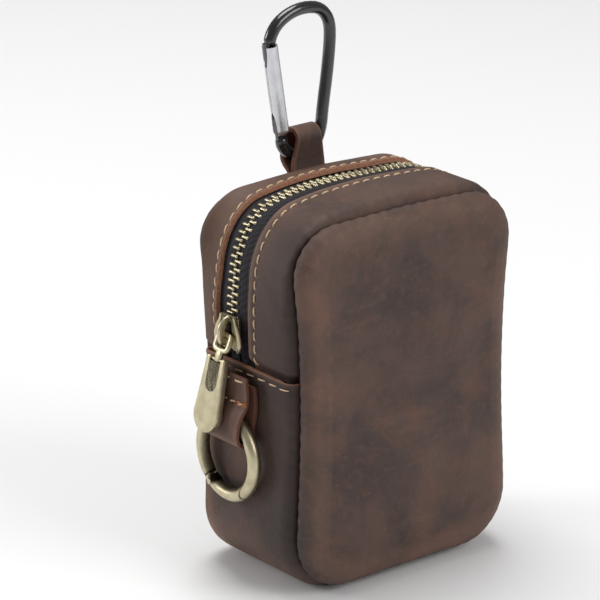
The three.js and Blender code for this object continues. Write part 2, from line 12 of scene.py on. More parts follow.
import bmesh
import bpy
import numpy as np
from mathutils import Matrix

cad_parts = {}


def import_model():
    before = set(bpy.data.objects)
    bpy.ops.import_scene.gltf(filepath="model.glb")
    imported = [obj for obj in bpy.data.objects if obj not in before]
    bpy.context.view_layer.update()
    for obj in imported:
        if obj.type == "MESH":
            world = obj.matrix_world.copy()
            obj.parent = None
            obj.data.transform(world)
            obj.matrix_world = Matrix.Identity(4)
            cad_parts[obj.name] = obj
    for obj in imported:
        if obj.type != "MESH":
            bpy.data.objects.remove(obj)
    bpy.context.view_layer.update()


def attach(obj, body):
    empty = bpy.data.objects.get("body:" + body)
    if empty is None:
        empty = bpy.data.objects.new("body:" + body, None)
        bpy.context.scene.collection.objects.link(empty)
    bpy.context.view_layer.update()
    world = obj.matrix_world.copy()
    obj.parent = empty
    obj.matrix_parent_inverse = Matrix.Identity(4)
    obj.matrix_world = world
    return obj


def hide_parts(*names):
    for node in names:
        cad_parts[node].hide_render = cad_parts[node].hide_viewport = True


Array = np.ndarray
Amount = Union[float, Array]
Colour = tuple[float, float, float]
log = logging.getLogger("belt_bag")


class Body(Enum):
    """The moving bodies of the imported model."""

    POUCH = "pouch"
    LINK = "link"
    TONGUE = "tongue"
    RING = "ring"
    RING_GATE = "ring_gate"
    HOOK_GATE = "hook_gate"


class Row(Enum):
    """The two sides of the zip, by the sign of their offset from its middle."""

    FRONT = -1
    BACK = 1


# Shapes worked out as whole arrays


def tone(red: float, green: float, blue: float) -> Colour:
    """Turns a colour as a screen shows it, 0 to 255, into the linear values that shaders use.

    Args:
        red: The red part, 0 to 255.
        green: The green part.
        blue: The blue part.

    Returns:
        The linear colour.
    """
    shown = np.array([red, green, blue]) / 255.0
    linear = np.where(shown <= 0.04045, shown / 12.92, ((shown + 0.055) / 1.055) ** 2.4)
    return tuple(float(value) for value in linear)


def smoothstep(value: Array, low: float, high: float) -> Array:
    """Rises from 0 at low to 1 at high as 3s^2 - 2s^3."""
    share = np.clip((value - low) / (high - low), 0.0, 1.0)
    return share * share * (3.0 - 2.0 * share)


def unit(vectors: Array) -> Array:
    """Scales the vectors on the last axis to length 1."""
    return vectors / np.maximum(np.linalg.norm(vectors, axis=-1, keepdims=True), 1e-9)


def along(points: Array) -> Array:
    """Gives the running length of a row of points, from 0."""
    steps = np.linalg.norm(np.diff(points, axis=0), axis=1)
    return np.concatenate([[0.0], np.cumsum(steps)])


def resample(points: Array, stations: Array) -> Array:
    """Reads a row of points at running lengths, with straight lines between them."""
    length = along(points)
    return np.stack([np.interp(stations, length, points[:, axis]) for axis in range(points.shape[1])], axis=1)


def rounded_path(points: Sequence[Sequence[float]], rounds: int = 4) -> Array:
    """Cuts the corners of an open row of points: each round puts two points at 1/4 and 3/4 of every edge.

    Args:
        points: The corners, first to last.
        rounds: How many times the corners are cut.

    Returns:
        The smooth row, with its first and last points kept.
    """
    path = np.array(points, dtype=float)
    for _ in range(rounds):
        near = 0.75 * path[:-1] + 0.25 * path[1:]
        far = 0.25 * path[:-1] + 0.75 * path[1:]
        cut = np.stack([near, far], axis=1).reshape(-1, path.shape[1])
        path = np.concatenate([path[:1], cut, path[-1:]])
    return path


def rounded_loop(corners: Sequence[Sequence[float]], radius: float, count: int) -> Array:
    """A closed row of points round some corners, each cut off at a radius and then smoothed.

    Args:
        corners: The corners in order.
        radius: How far from each corner its cut starts.
        count: How many points the row has.

    Returns:
        Evenly spaced points, the first halfway between the last and first corners.
    """
    points = np.array(corners, dtype=float)
    before = points + unit(np.roll(points, 1, axis=0) - points) * radius
    after = points + unit(np.roll(points, -1, axis=0) - points) * radius
    cut = np.stack([before, after], axis=1).reshape(-1, points.shape[1])
    start = (cut[:1] + cut[-1:]) / 2
    path = rounded_path(np.concatenate([start, cut, start]), 3)
    return resample(path, np.linspace(0.0, along(path)[-1], count + 1)[:-1])


def edge_stations(length: float, count: int, radius: float) -> Array:
    """Spaces points over a length, with quarter-circle steps r(1 - cos a) inside a radius of each end.

    Args:
        length: The length to cover.
        count: How many points the even part has, with its ends.
        radius: The reach r of the close steps.

    Returns:
        The places along the length.
    """
    curve = radius * (1.0 - np.cos(np.linspace(0.0, math.pi / 2, 5)))
    middle = np.linspace(radius, length - radius, count)[1:-1]
    return np.concatenate([curve, middle, length - curve[::-1]])


def quarter_roll(start: Sequence[float], end: Sequence[float], steps: int, power: float = 1.0) -> Array:
    """A quarter of an ellipse between two [inset, y] points that leaves the first one along the inset axis.

    Args:
        start: The first point.
        end: The last point.
        steps: How many steps the quarter has.
        power: 1 for an ellipse and less for a fuller, squarer turn.

    Returns:
        The points after the first: inset goes as sin^p a and y as 1 - cos^p a.
    """
    angle = np.linspace(0.0, math.pi / 2, steps + 1)[1:]
    inset = start[0] + (end[0] - start[0]) * np.sin(angle) ** power
    y = start[1] + (end[1] - start[1]) * (1.0 - np.maximum(np.cos(angle), 0.0) ** power)
    return np.stack([inset, y], axis=1)


def quarter_roll_across(start: Sequence[float], end: Sequence[float], steps: int) -> Array:
    """The same quarter of an ellipse, but it leaves the first point along y."""
    return quarter_roll(start[::-1], end[::-1], steps)[:, ::-1]


def surface_normals(grid: Array, closed_rows: bool = False) -> Array:
    """Crosses the two central differences of a grid of points.

    Args:
        grid: Points in rows and columns.
        closed_rows: Whether the last row joins the first.

    Returns:
        Unit vectors, row direction x column direction.
    """
    if closed_rows:
        down = np.roll(grid, -1, axis=0) - np.roll(grid, 1, axis=0)
    else:
        down = np.gradient(grid, axis=0)
    across = np.gradient(grid, axis=1)
    return unit(np.cross(down, across))


def waves(points: Array, wavelength: float, seed: int, count: int = 9) -> Array:
    """Soft random relief: the mean of plane sine waves in random directions, from about -1 to 1.

    Args:
        points: Where it is read, on the last axis.
        wavelength: The waves' mean length.
        seed: Picks the directions and phases.
        count: How many waves are summed.

    Returns:
        One value for each point.
    """
    dice = np.random.default_rng(seed)
    directions = unit(dice.normal(size=(count, 3))) * dice.uniform(0.7, 1.5, (count, 1))
    phases = dice.uniform(0.0, 2.0 * math.pi, count)
    return np.sin(points @ directions.T * (2.0 * math.pi / wavelength) + phases).mean(axis=-1) * 1.6


def frames_along(path: Array, up: Sequence[float]) -> tuple[Array, Array, Array]:
    """Gives tangent, side and normal at each point of a path, with the normal kept near a given direction.

    Args:
        path: The points in order.
        up: The direction that the normal stays near.

    Returns:
        The tangents, the sides and the normals.
    """
    tangent = unit(np.gradient(path, axis=0))
    side = unit(np.cross(tangent, np.asarray(up, dtype=float)))
    return tangent, side, np.cross(side, tangent)


@dataclass
class Draft:
    """The points, faces and painted values of a piece that is being made, in millimetres."""

    name: str
    points: list[Array] = field(default_factory=list)
    faces: list[list[int]] = field(default_factory=list)
    wear: list[Array] = field(default_factory=list)
    raw: list[Array] = field(default_factory=list)
    count: int = 0

    def add_points(self, points: Array, wear: Amount, raw: Amount) -> int:
        """Stores points with their wear-and-shade and raw-edge values, and gives the index of the first.

        Args:
            points: Points in a grid of any shape.
            wear: Painted wear and painted shade, one value or one for each point.
            raw: Painted raw edge, one value or one for each point.

        Returns:
            The index of the first point.
        """
        start = self.count
        flat = points.reshape(-1, 3)
        self.points.append(flat)
        self.wear.append(np.broadcast_to(wear, points.shape[:-1]).reshape(-1))
        self.raw.append(np.broadcast_to(raw, points.shape[:-1]).reshape(-1))
        self.count += len(flat)
        return start

    def add_grid(self, grid: Array, closed_rows: bool = False, closed_columns: bool = False,
                 capped: bool = False, wear: Amount = 0.0, raw: Amount = 0.0) -> None:
        """Adds a grid of points as quads.

        Args:
            grid: Points in rows and columns.
            closed_rows: Whether the last row joins the first.
            closed_columns: Whether the last column joins the first.
            capped: Whether the first and last rows are filled.
            wear: Painted wear and painted shade, one value or one for each point.
            raw: Painted raw edge, one value or one for each point.
        """
        rows, columns = grid.shape[:2]
        start = self.add_points(grid, wear, raw)
        index = np.arange(rows * columns).reshape(rows, columns) + start
        if closed_rows:
            index = np.concatenate([index, index[:1]])
        if closed_columns:
            index = np.concatenate([index, index[:, :1]], axis=1)
        quads = np.stack([index[:-1, :-1], index[1:, :-1], index[1:, 1:], index[:-1, 1:]], axis=-1)
        self.faces.extend(quads.reshape(-1, 4).tolist())
        if capped:
            self.faces.append(index[0, :columns][::-1].tolist())
            self.faces.append(index[-1, :columns].tolist())

    def add_copies(self, shape: Array, origins: Array, axes: tuple[Array, Array, Array]) -> None:
        """Repeats a closed-column grid at many places: p = origin + x a + y b + z c.

        Args:
            shape: The grid of one copy.
            origins: One point for each copy.
            axes: Three arrays of unit vectors, one vector for each copy.
        """
        rows, columns = shape.shape[:2]
        basis = np.stack(axes, axis=1)
        placed = np.einsum("rck,nkd->nrcd", shape, basis) + origins[:, None, None, :]
        start = self.add_points(placed, 0.0, 0.0)
        index = np.arange(rows * columns).reshape(rows, columns)
        wrapped = np.concatenate([index, index[:, :1]], axis=1)
        quads = np.stack([wrapped[:-1, :-1], wrapped[1:, :-1], wrapped[1:, 1:], wrapped[:-1, 1:]], axis=-1)
        shifts = start + np.arange(len(origins)) * rows * columns
        self.faces.extend((quads.reshape(1, -1, 4) + shifts[:, None, None]).reshape(-1, 4).tolist())
        for cap in (index[0][::-1], index[-1]):
            self.faces.extend((cap[None, :] + shifts[:, None]).tolist())

    def add_slab(self, outer: Array, thickness: Amount, radius: float = 0.4, closed_rows: bool = False,
                 wear: Amount = 0.0, pole: bool = False) -> None:
        """Adds a sheet of leather or cloth behind an outer surface, with softened cut edges.

        The sheet's half thickness is h = t/2 - r + sqrt(r^2 - (r - d)^2), where d is the distance
        to the edge.

        Args:
            outer: The outer face, in rows and columns, whose normals point out.
            thickness: The sheet's thickness t, one value or one for each column.
            radius: The edges' radius r.
            closed_rows: Whether the last row joins the first.
            wear: Painted wear and painted shade of the outer face.
            pole: Whether the last column is a single point and not an edge.
        """
        normals = surface_normals(outer, closed_rows)
        if pole:
            normals[:, -1] = normals[:, -3]
        lengths = np.cumsum(np.linalg.norm(np.diff(outer, axis=1), axis=2), axis=1)
        lengths = np.concatenate([np.zeros((len(outer), 1)), lengths], axis=1)
        depth = lengths if pole else np.minimum(lengths, lengths[:, -1:] - lengths)
        if not closed_rows:
            down = np.cumsum(np.linalg.norm(np.diff(outer, axis=0), axis=2), axis=0)
            down = np.concatenate([np.zeros((1, outer.shape[1])), down], axis=0)
            depth = np.minimum(depth, np.minimum(down, down[-1:] - down))
        reach = radius - np.clip(radius - depth, 0.0, radius)
        middle = np.broadcast_to(thickness, outer.shape[:2]) / 2
        half = middle - radius + np.sqrt(np.maximum(radius**2 - (radius - reach) ** 2, 0.0))
        centre = outer - normals * middle[..., None]
        front = centre + normals * half[..., None]
        back = centre - normals * half[..., None]
        edge = 1.0 - smoothstep(depth, 0.0, radius * 1.2)
        self.add_grid(front, closed_rows, wear=wear, raw=edge * 0.7)
        self.add_grid(back, closed_rows, wear=0.0, raw=1.0)
        share = np.linspace(0.0, 1.0, 5)[:, None, None]
        ends = [(front[:, 0], back[:, 0])]
        if not pole:
            ends.append((front[:, -1], back[:, -1]))
        for top, bottom in ends:
            wall = top[None] * (1.0 - share) + bottom[None] * share
            self.add_grid(wall.transpose(1, 0, 2), closed_rows, raw=1.0)
        if not closed_rows:
            for top, bottom in ((front[0], back[0]), (front[-1], back[-1])):
                wall = top[None] * (1.0 - share) + bottom[None] * share
                self.add_grid(wall, raw=1.0)

    def add_rod(self, path: Array, radius: Amount, sides: int = 20, closed: bool = False,
                up: Sequence[float] = (0.0, 1.0, 0.0), square: float = 1.0, flat: float = 1.0,
                wear: Amount = 0.0) -> None:
        """Carries a round or squarish section along a path.

        The section is |cos a|^q and |sin a|^q with their signs, where q is 1 for a circle and less
        for a square.

        Args:
            path: The middle line.
            radius: One radius, or one for each point.
            sides: How many points the section has.
            closed: Whether the path is a loop.
            up: A direction that the path never follows, which fixes the section's turn.
            square: The power q.
            flat: The section's size along its normal, as a share of that along its side.
            wear: Painted wear and painted shade.
        """
        tangent, side, normal = frames_along(path, up)
        if closed:
            tangent = unit(np.roll(path, -1, axis=0) - np.roll(path, 1, axis=0))
            side = unit(np.cross(tangent, np.asarray(up, dtype=float)))
            normal = np.cross(side, tangent)
        angle = np.linspace(0.0, 2.0 * math.pi, sides, endpoint=False)
        cosine = np.sign(np.cos(angle)) * np.abs(np.cos(angle)) ** square
        sine = np.sign(np.sin(angle)) * np.abs(np.sin(angle)) ** square * flat
        reach = np.broadcast_to(radius, len(path))[:, None, None]
        section = cosine[None, :, None] * side[:, None] + sine[None, :, None] * normal[:, None]
        grid = path[:, None] + reach * section
        self.add_grid(grid, closed_rows=closed, closed_columns=True, capped=not closed, wear=wear)

    def add_plate(self, outline: Array, thickness: float, edge: float, place: "Place", dome: float = 0.0,
                  wear: Amount = 0.0) -> None:
        """Adds a plate with rounded edges: the outline shrinks by e(1 - cos a) while it rises by e sin a.

        Args:
            outline: The closed outline, as [x, y] points that run anticlockwise.
            thickness: The plate's thickness.
            edge: The edges' radius e.
            place: Where the plate's own axes are.
            dome: How far the outline shrinks further on the faces, as a flat bevel.
            wear: Painted wear and painted shade, one value or one for each of the 12 levels and each outline
                point.
        """
        step = unit(np.roll(outline, -1, axis=0) - np.roll(outline, 1, axis=0))
        inward = np.stack([-step[:, 1], step[:, 0]], axis=1)
        angle = np.linspace(0.0, math.pi / 2, 6)
        shrink = edge * (1.0 - np.cos(angle))
        rise = thickness / 2 - edge + edge * np.sin(angle)
        if dome:
            shrink = np.append(shrink, shrink[-1] + dome)
            rise = np.append(rise, rise[-1] + dome * 0.12)
        levels = np.concatenate([-rise[::-1], rise])
        insets = np.concatenate([shrink[::-1], shrink])
        flat = outline[None] + insets[:, None, None] * inward[None]
        grid = np.concatenate([flat, np.broadcast_to(levels[:, None, None], flat.shape[:2] + (1,))], axis=2)
        self.add_grid(place.world(grid), closed_columns=True, capped=True, wear=wear)

    def build(self, finish: "Finish", body: Body, replaces: Sequence[str] = (),
              smooth: bool = True, sharp: float = 0.0) -> bpy.types.Object:
        """Makes the object, joins its doubles, turns its faces outwards and puts it in the frame.

        Args:
            finish: Its material.
            body: The body that it rides on.
            replaces: The CAD nodes that it stands for.
            smooth: Whether its faces are shaded smooth.
            sharp: The angle in degrees over which an edge stays sharp, or 0 for none.

        Returns:
            The finished object.
        """
        mesh = bpy.data.meshes.new(self.name)
        mesh.from_pydata((np.concatenate(self.points) * 0.001).tolist(), [], self.faces)
        # The first painted value holds real wear and painted shade; the second holds the raw cut edges.
        for title, values in (("wear", self.wear), ("raw", self.raw)):
            layer = mesh.attributes.new(title, "FLOAT", "POINT")
            layer.data.foreach_set("value", np.concatenate(values).astype(np.float32))
        work = bmesh.new()
        work.from_mesh(mesh)
        bmesh.ops.remove_doubles(work, verts=work.verts, dist=2e-6)
        bmesh.ops.dissolve_degenerate(work, edges=work.edges, dist=1e-7)
        bmesh.ops.recalc_face_normals(work, faces=work.faces)
        work.to_mesh(mesh)
        work.free()
        mesh.polygons.foreach_set("use_smooth", np.full(len(mesh.polygons), smooth))
        if sharp:
            mesh.set_sharp_from_angle(angle=math.radians(sharp))
        mesh.update()
        piece = bpy.data.objects.new(self.name, mesh)
        bpy.context.scene.collection.objects.link(piece)
        mesh.materials.append(finish.made())
        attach(piece, body.value)
        if replaces:
            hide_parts(*replaces)
        log.info("%s: %d faces on %s", self.name, len(mesh.polygons), body.value)
        return piece


@dataclass(frozen=True)
class Place:
    """A local frame: an origin and three axes, in the bag's frame."""

    origin: Array
    x: Array
    y: Array
    z: Array

    def world(self, points: Array) -> Array:
        """Takes points from this frame into the bag's."""
        return self.origin + points[..., :1] * self.x + points[..., 1:2] * self.y + points[..., 2:] * self.z

    def moved(self, x: float, y: float, z: float, tilt: float = 0.0) -> "Place":
        """Shifts the frame along its own axes and then tilts it about its x axis, in degrees.

        Args:
            x: The shift along its x axis.
            y: The shift along its y axis.
            z: The shift along its z axis.
            tilt: The tilt in degrees.

        Returns:
            The new frame.
        """
        origin = self.origin + x * self.x + y * self.y + z * self.z
        turn = math.radians(tilt)
        up = self.y * math.cos(turn) + self.z * math.sin(turn)
        out = self.z * math.cos(turn) - self.y * math.sin(turn)
        return Place(origin, self.x, up, out)


# Finishes


class Value:
    """A number socket of a material, with operators that add Math nodes."""

    def __init__(self, graph: "Graph", socket: bpy.types.NodeSocket) -> None:
        """Wraps a socket.

        Args:
            graph: The material's graph.
            socket: An output socket that carries a number.
        """
        self.graph = graph
        self.socket = socket

    def _math(self, operation: str, first: "Number", second: "Number", clamp: bool = False) -> "Value":
        """Adds one Math node and wraps its output."""
        settings = {"operation": operation, "use_clamp": clamp}
        node = self.graph.node("ShaderNodeMath", settings, {0: first, 1: second})
        return Value(self.graph, node.outputs[0])

    def __add__(self, other: "Number") -> "Value":
        """self + other."""
        return self._math("ADD", self, other)

    def __radd__(self, other: "Number") -> "Value":
        """other + self."""
        return self._math("ADD", other, self)

    def __sub__(self, other: "Number") -> "Value":
        """self - other."""
        return self._math("SUBTRACT", self, other)

    def __rsub__(self, other: "Number") -> "Value":
        """other - self."""
        return self._math("SUBTRACT", other, self)

    def __mul__(self, other: "Number") -> "Value":
        """self * other."""
        return self._math("MULTIPLY", self, other)

    def __rmul__(self, other: "Number") -> "Value":
        """other * self."""
        return self._math("MULTIPLY", other, self)

    def clamped(self) -> "Value":
        """Keeps the value from 0 to 1."""
        return self._math("ADD", self, 0.0, clamp=True)

    def rise(self, low: float, high: float) -> "Value":
        """Rises smoothly from 0 at low to 1 at high.

        Args:
            low: Where it is 0.
            high: Where it is 1.

        Returns:
            The smooth step.
        """
        settings = {"interpolation_type": "SMOOTHSTEP"}
        inputs = {"Value": self, "From Min": low, "From Max": high}
        node = self.graph.node("ShaderNodeMapRange", settings, inputs)
        return Value(self.graph, node.outputs[0])


Number = Union[float, Value]


class Graph:
    """The node tree of one material."""

    def __init__(self, name: str) -> None:
        """Starts an empty material with its output node.

        Args:
            name: The material's name.
        """
        self.material = bpy.data.materials.new(name)
        self.material.use_nodes = True
        self.tree = self.material.node_tree
        self.tree.nodes.clear()
        self.output = self.tree.nodes.new("ShaderNodeOutputMaterial")
        self.place = self.node("ShaderNodeTexCoord").outputs["Object"]

    def node(self, kind: str, settings: Union[dict, None] = None,
             inputs: Union[dict, None] = None) -> bpy.types.Node:
        """Adds a node.

        Args:
            kind: The node's type.
            settings: Its properties, and under "stops" a ramp's positions and colours.
            inputs: Values or links for its sockets, by name or number.

        Returns:
            The new node.
        """
        made = self.tree.nodes.new(kind)
        for key, setting in (settings or {}).items():
            if key == "stops":
                ramp = made.color_ramp
                ramp.elements[0].position, ramp.elements[0].color = setting[0][0], (*setting[0][1], 1.0)
                ramp.elements[1].position, ramp.elements[1].color = setting[-1][0], (*setting[-1][1], 1.0)
                for position, colour in setting[1:-1]:
                    ramp.elements.new(position).color = (*colour, 1.0)
            else:
                setattr(made, key, setting)
        for key, value in (inputs or {}).items():
            socket = made.inputs[key]
            source = value.socket if isinstance(value, Value) else value
            if isinstance(source, bpy.types.NodeSocket):
                self.tree.links.new(source, socket)
            elif isinstance(source, tuple) and len(source) == 3 and socket.type == "RGBA":
                socket.default_value = (*source, 1.0)
            else:
                socket.default_value = source
        return made

    def mapped(self, scale: Colour, offset: Colour = (0.0, 0.0, 0.0), turn: Colour = (0.0, 0.0, 0.0)
               ) -> bpy.types.NodeSocket:
        """Object coordinates that are scaled, shifted and turned."""
        inputs = {"Vector": self.place, "Scale": scale, "Location": offset, "Rotation": turn}
        return self.node("ShaderNodeMapping", None, inputs).outputs[0]

    def noise(self, scale: float, detail: float = 3.0, roughness: float = 0.55, distortion: float = 0.0,
              vector: Union[bpy.types.NodeSocket, None] = None) -> Value:
        """Noise with so many cells a metre, about 0.5 on average."""
        inputs = {"Vector": vector or self.place, "Scale": scale, "Detail": detail,
                  "Roughness": roughness, "Distortion": distortion}
        return Value(self, self.node("ShaderNodeTexNoise", None, inputs).outputs[0])

    def cells(self, scale: float, feature: str = "F1",
              vector: Union[bpy.types.NodeSocket, None] = None) -> Value:
        """Voronoi distance with so many cells a metre."""
        inputs = {"Vector": vector or self.place, "Scale": scale}
        return Value(self, self.node("ShaderNodeTexVoronoi", {"feature": feature}, inputs).outputs[0])

    def painted(self, title: str) -> Value:
        """Reads one of the piece's painted values."""
        return Value(self, self.node("ShaderNodeAttribute", {"attribute_name": title}).outputs["Fac"])

    def mix(self, factor: Number, first: object, second: object, blend: str = "MIX") -> bpy.types.NodeSocket:
        """Mixes two colours."""
        settings = {"data_type": "RGBA", "blend_type": blend}
        return self.node("ShaderNodeMix", settings, {0: factor, 6: first, 7: second}).outputs[2]

    def bump(self, height: Value, strength: float, distance: float,
             normal: Union[bpy.types.NodeSocket, None] = None) -> bpy.types.NodeSocket:
        """Turns a height into a normal; distance is in metres.

        Args:
            height: The relief.
            strength: How strong it is, 0 to 1.
            distance: Its height in metres.
            normal: A normal that it adds to.

        Returns:
            The normal's socket.
        """
        inputs = {"Height": height, "Strength": strength, "Distance": distance}
        if normal is not None:
            inputs["Normal"] = normal
        return self.node("ShaderNodeBump", None, inputs).outputs[0]

    def surface(self, inputs: dict) -> bpy.types.Material:
        """Ends the graph in one Principled shader.

        Args:
            inputs: The shader's socket values and links by name.

        Returns:
            The material.
        """
        shader = self.node("ShaderNodeBsdfPrincipled", None, inputs)
        self.tree.links.new(shader.outputs[0], self.output.inputs["Surface"])
        return self.material


class Finish:
    """A material that is made once and then shared."""

    name: str

    def made(self) -> bpy.types.Material:
        """Gives the material, making it the first time."""
        return bpy.data.materials.get(self.name) or self.make()

    def make(self) -> bpy.types.Material:
        """Builds the node tree."""
        raise NotImplementedError


@dataclass(frozen=True)
class WaxedLeather(Finish):
    """Oiled, waxed hide with a scuffed nap: the painted value rubs it pale above 0 and darkens it below 0
    with painted shade and some oil.
    """

    name: str
    deep: Colour = tone(58, 45, 41)
    body: Colour = tone(88, 66, 57)
    warm: Colour = tone(112, 72, 55)
    rubbed: Colour = tone(132, 102, 84)
    suede: Colour = tone(184, 130, 102)
    shift: float = 0.0

    def make(self) -> bpy.types.Material:
        """Clouds, patches and scuffs mix the four browns; the cut edge and the back are suede.

        Returns:
            The material.
        """
        graph = Graph(self.name)
        shifted = graph.mapped((1.0, 1.0, 1.0), (self.shift, 0.4 * self.shift, -self.shift))
        cloud = graph.noise(30.0, 5.0, 0.62, 0.6, shifted)
        patch = graph.noise(85.0, 6.0, 0.66, 0.9, shifted)
        speck = graph.noise(520.0, 4.0, 0.7, 0.0, shifted)
        scuffed = graph.mapped((60.0, 420.0, 190.0), (0.3, self.shift, 0.7), (0.4, 0.3, 0.5))
        scuff = graph.noise(1.0, 5.0, 0.7, 1.2, scuffed)
        wear = graph.painted("wear")
        raw = graph.painted("raw")
        colour = graph.mix(cloud.rise(0.34, 0.66), self.deep, self.body)
        colour = graph.mix(patch.rise(0.46, 0.72) * 0.32, colour, self.warm)
        scuffs = (scuff.rise(0.55, 0.8) * 0.26 + speck.rise(0.5, 0.8) * 0.24).clamped()
        colour = graph.mix(scuffs, colour, self.rubbed)
        rub = (wear * (0.35 + patch.rise(0.3, 0.7) * 0.5 + speck * 0.3)).clamped()
        colour = graph.mix(rub, colour, self.rubbed)
        # Below 0 the painted value is painted shade, partly oil darkening: it mixes towards a deeper brown.
        oil_and_shade = ((0.0 - wear) * (0.8 + patch * 0.4)).clamped()
        colour = graph.mix(oil_and_shade, colour, tuple(part * 0.55 for part in self.deep))
        fibre = graph.noise(1700.0, 3.0, 0.7)
        nap = graph.mix(fibre.rise(0.3, 0.75), tuple(part * 0.62 for part in self.suede), self.suede)
        cut = (raw * (0.75 + fibre * 0.5)).clamped()
        colour = graph.mix(cut, colour, nap)
        grain = graph.cells(1150.0, "SMOOTH_F1") * 0.5 + graph.noise(2600.0, 3.0, 0.6) * 0.5
        relief = grain * 0.6 + speck * 0.5 + fibre * raw * 1.4
        normal = graph.bump(relief, 0.55, 0.00022)
        normal = graph.bump(patch, 0.35, 0.0009, normal)
        roughness = (0.5 + speck * 0.16 + patch * 0.14 + raw * 0.3 - wear * 0.03).clamped()
        return graph.surface({"Base Color": colour, "Roughness": roughness, "Normal": normal,
                              "Specular IOR Level": 0.42})


@dataclass(frozen=True)
class WaxedThread(Finish):
    """Thick cream thread with a two-ply twist."""

    name: str
    light: Colour = tone(232, 206, 172)
    dark: Colour = tone(188, 150, 114)

    def make(self) -> bpy.types.Material:
        """Fine fibres over the twist.

        Returns:
            The material.
        """
        graph = Graph(self.name)
        fibre = graph.noise(2400.0, 3.0, 0.6)
        colour = graph.mix(fibre.rise(0.3, 0.7), self.dark, self.light)
        normal = graph.bump(fibre, 0.6, 0.0002)
        return graph.surface({"Base Color": colour, "Roughness": 0.7, "Normal": normal})


@dataclass(frozen=True)
class WovenTape(Finish):
    """Near-black woven zip tape with a fine rib."""

    name: str
    thread: Colour = tone(40, 36, 44)
    gap: Colour = tone(14, 12, 16)

    def make(self) -> bpy.types.Material:
        """Two crossed families of ribs, about 0.55 mm apart.

        Returns:
            The material.
        """
        graph = Graph(self.name)
        ribs = graph.node("ShaderNodeTexWave", {"wave_type": "BANDS", "bands_direction": "DIAGONAL"},
                          {"Vector": graph.place, "Scale": 260.0, "Distortion": 1.5, "Detail": 1.0})
        cross = graph.node("ShaderNodeTexWave", {"wave_type": "BANDS", "bands_direction": "Y"},
                           {"Vector": graph.place, "Scale": 300.0, "Distortion": 0.8})
        weave = Value(graph, ribs.outputs["Fac"]) * 0.6 + Value(graph, cross.outputs["Fac"]) * 0.4
        fluff = graph.noise(1500.0, 3.0, 0.6)
        colour = graph.mix((weave * 0.8 + fluff * 0.3).clamped(), self.gap, self.thread)
        normal = graph.bump(weave + fluff * 0.4, 0.7, 0.00025)
        return graph.surface({"Base Color": colour, "Roughness": 0.85, "Normal": normal})


@dataclass(frozen=True)
class AntiqueBrass(Finish):
    """Pale plated brass, brushed and dulled, with painted shade that darkens it in hollows, slots, joints and
    on inner faces.
    """

    name: str
    bright: Colour = tone(200, 190, 160)
    dull: Colour = tone(138, 127, 98)
    shade_tone: Colour = tone(28, 24, 18)
    rough: float = 0.27

    def make(self) -> bpy.types.Material:
        """Soft clouds of dull plate and fine brush marks.

        Returns:
            The material.
        """
        graph = Graph(self.name)
        cloud = graph.noise(260.0, 4.0, 0.6)
        mark = graph.noise(1.0, 3.0, 0.6, 0.0, graph.mapped((900.0, 900.0, 5200.0)))
        wear = graph.painted("wear")
        # The painted value is painted shade: it dulls the brass and darkens it towards a deep shade colour.
        colour = graph.mix((cloud.rise(0.35, 0.75) * 0.45 + wear * 0.6).clamped(), self.bright, self.dull)
        colour = graph.mix((wear * (0.8 + cloud * 0.4)).clamped(), colour, self.shade_tone)
        roughness = (self.rough + cloud * 0.14 + mark * 0.08 + wear * 0.25).clamped()
        normal = graph.bump(mark + cloud * 0.4, 0.12, 0.0001)
        return graph.surface({"Base Color": colour, "Metallic": 1.0,
                              "Roughness": roughness, "Normal": normal})


@dataclass(frozen=True)
class GlossEnamel(Finish):
    """Black stoved enamel on the snap hook."""

    name: str
    colour: Colour = tone(22, 22, 25)

    def make(self) -> bpy.types.Material:
        """A faint orange peel under a clear coat.

        Returns:
            The material.
        """
        graph = Graph(self.name)
        peel = graph.noise(420.0, 2.0, 0.5)
        dust = graph.noise(1600.0, 3.0, 0.6)
        colour = graph.mix(dust.rise(0.55, 0.8) * 0.3, self.colour, tone(44, 44, 48))
        normal = graph.bump(peel, 0.12, 0.0004)
        roughness = (0.16 + dust * 0.14).clamped()
        return graph.surface({"Base Color": colour, "Roughness": roughness, "Normal": normal,
                              "Coat Weight": 0.6, "Coat Roughness": 0.08})


@dataclass(frozen=True)
class BrightSteel(Finish):
    """Drawn and lightly brushed plated metal."""

    name: str
    colour: Colour = tone(208, 209, 212)
    rough: float = 0.2

    def make(self) -> bpy.types.Material:
        """Lengthwise draw lines and small dull clouds.

        Returns:
            The material.
        """
        graph = Graph(self.name)
        lines = graph.noise(1.0, 3.0, 0.6, 0.0, graph.mapped((2600.0, 2600.0, 160.0)))
        cloud = graph.noise(300.0, 3.0, 0.6)
        colour = graph.mix(cloud.rise(0.4, 0.8) * 0.35, self.colour, tone(150, 152, 158))
        roughness = (self.rough + lines * 0.16).clamped()
        normal = graph.bump(lines, 0.1, 0.00008)
        return graph.surface({"Base Color": colour, "Metallic": 1.0,
                              "Roughness": roughness, "Normal": normal})


@dataclass(frozen=True)
class StudioFloor(Finish):
    """The plain pale surface that the bag stands on."""

    name: str
    colour: Colour = (0.9, 0.9, 0.9)

    def make(self) -> bpy.types.Material:
        """An even matt white."""
        graph = Graph(self.name)
        return graph.surface({"Base Color": self.colour, "Roughness": 0.9, "Specular IOR Level": 0.1})


@dataclass(frozen=True)
class Finishes:
    """Every finish of the bag."""

    leather: Finish = WaxedLeather("waxed_leather")
    strap: Finish = WaxedLeather("strap_hide", deep=tone(58, 43, 38), body=tone(86, 60, 50),
                                 suede=tone(112, 72, 56), shift=0.21)
    thread: Finish = WaxedThread("waxed_thread")
    tack: Finish = WaxedThread("tack_thread", light=tone(176, 112, 66), dark=tone(120, 70, 40))
    tape: Finish = WovenTape("zip_cloth")
    brass: Finish = AntiqueBrass("aged_brass")
    enamel: Finish = GlossEnamel("stoved_enamel")
    steel: Finish = BrightSteel("drawn_steel")
    floor: Finish = StudioFloor("studio_floor")


# The pouch


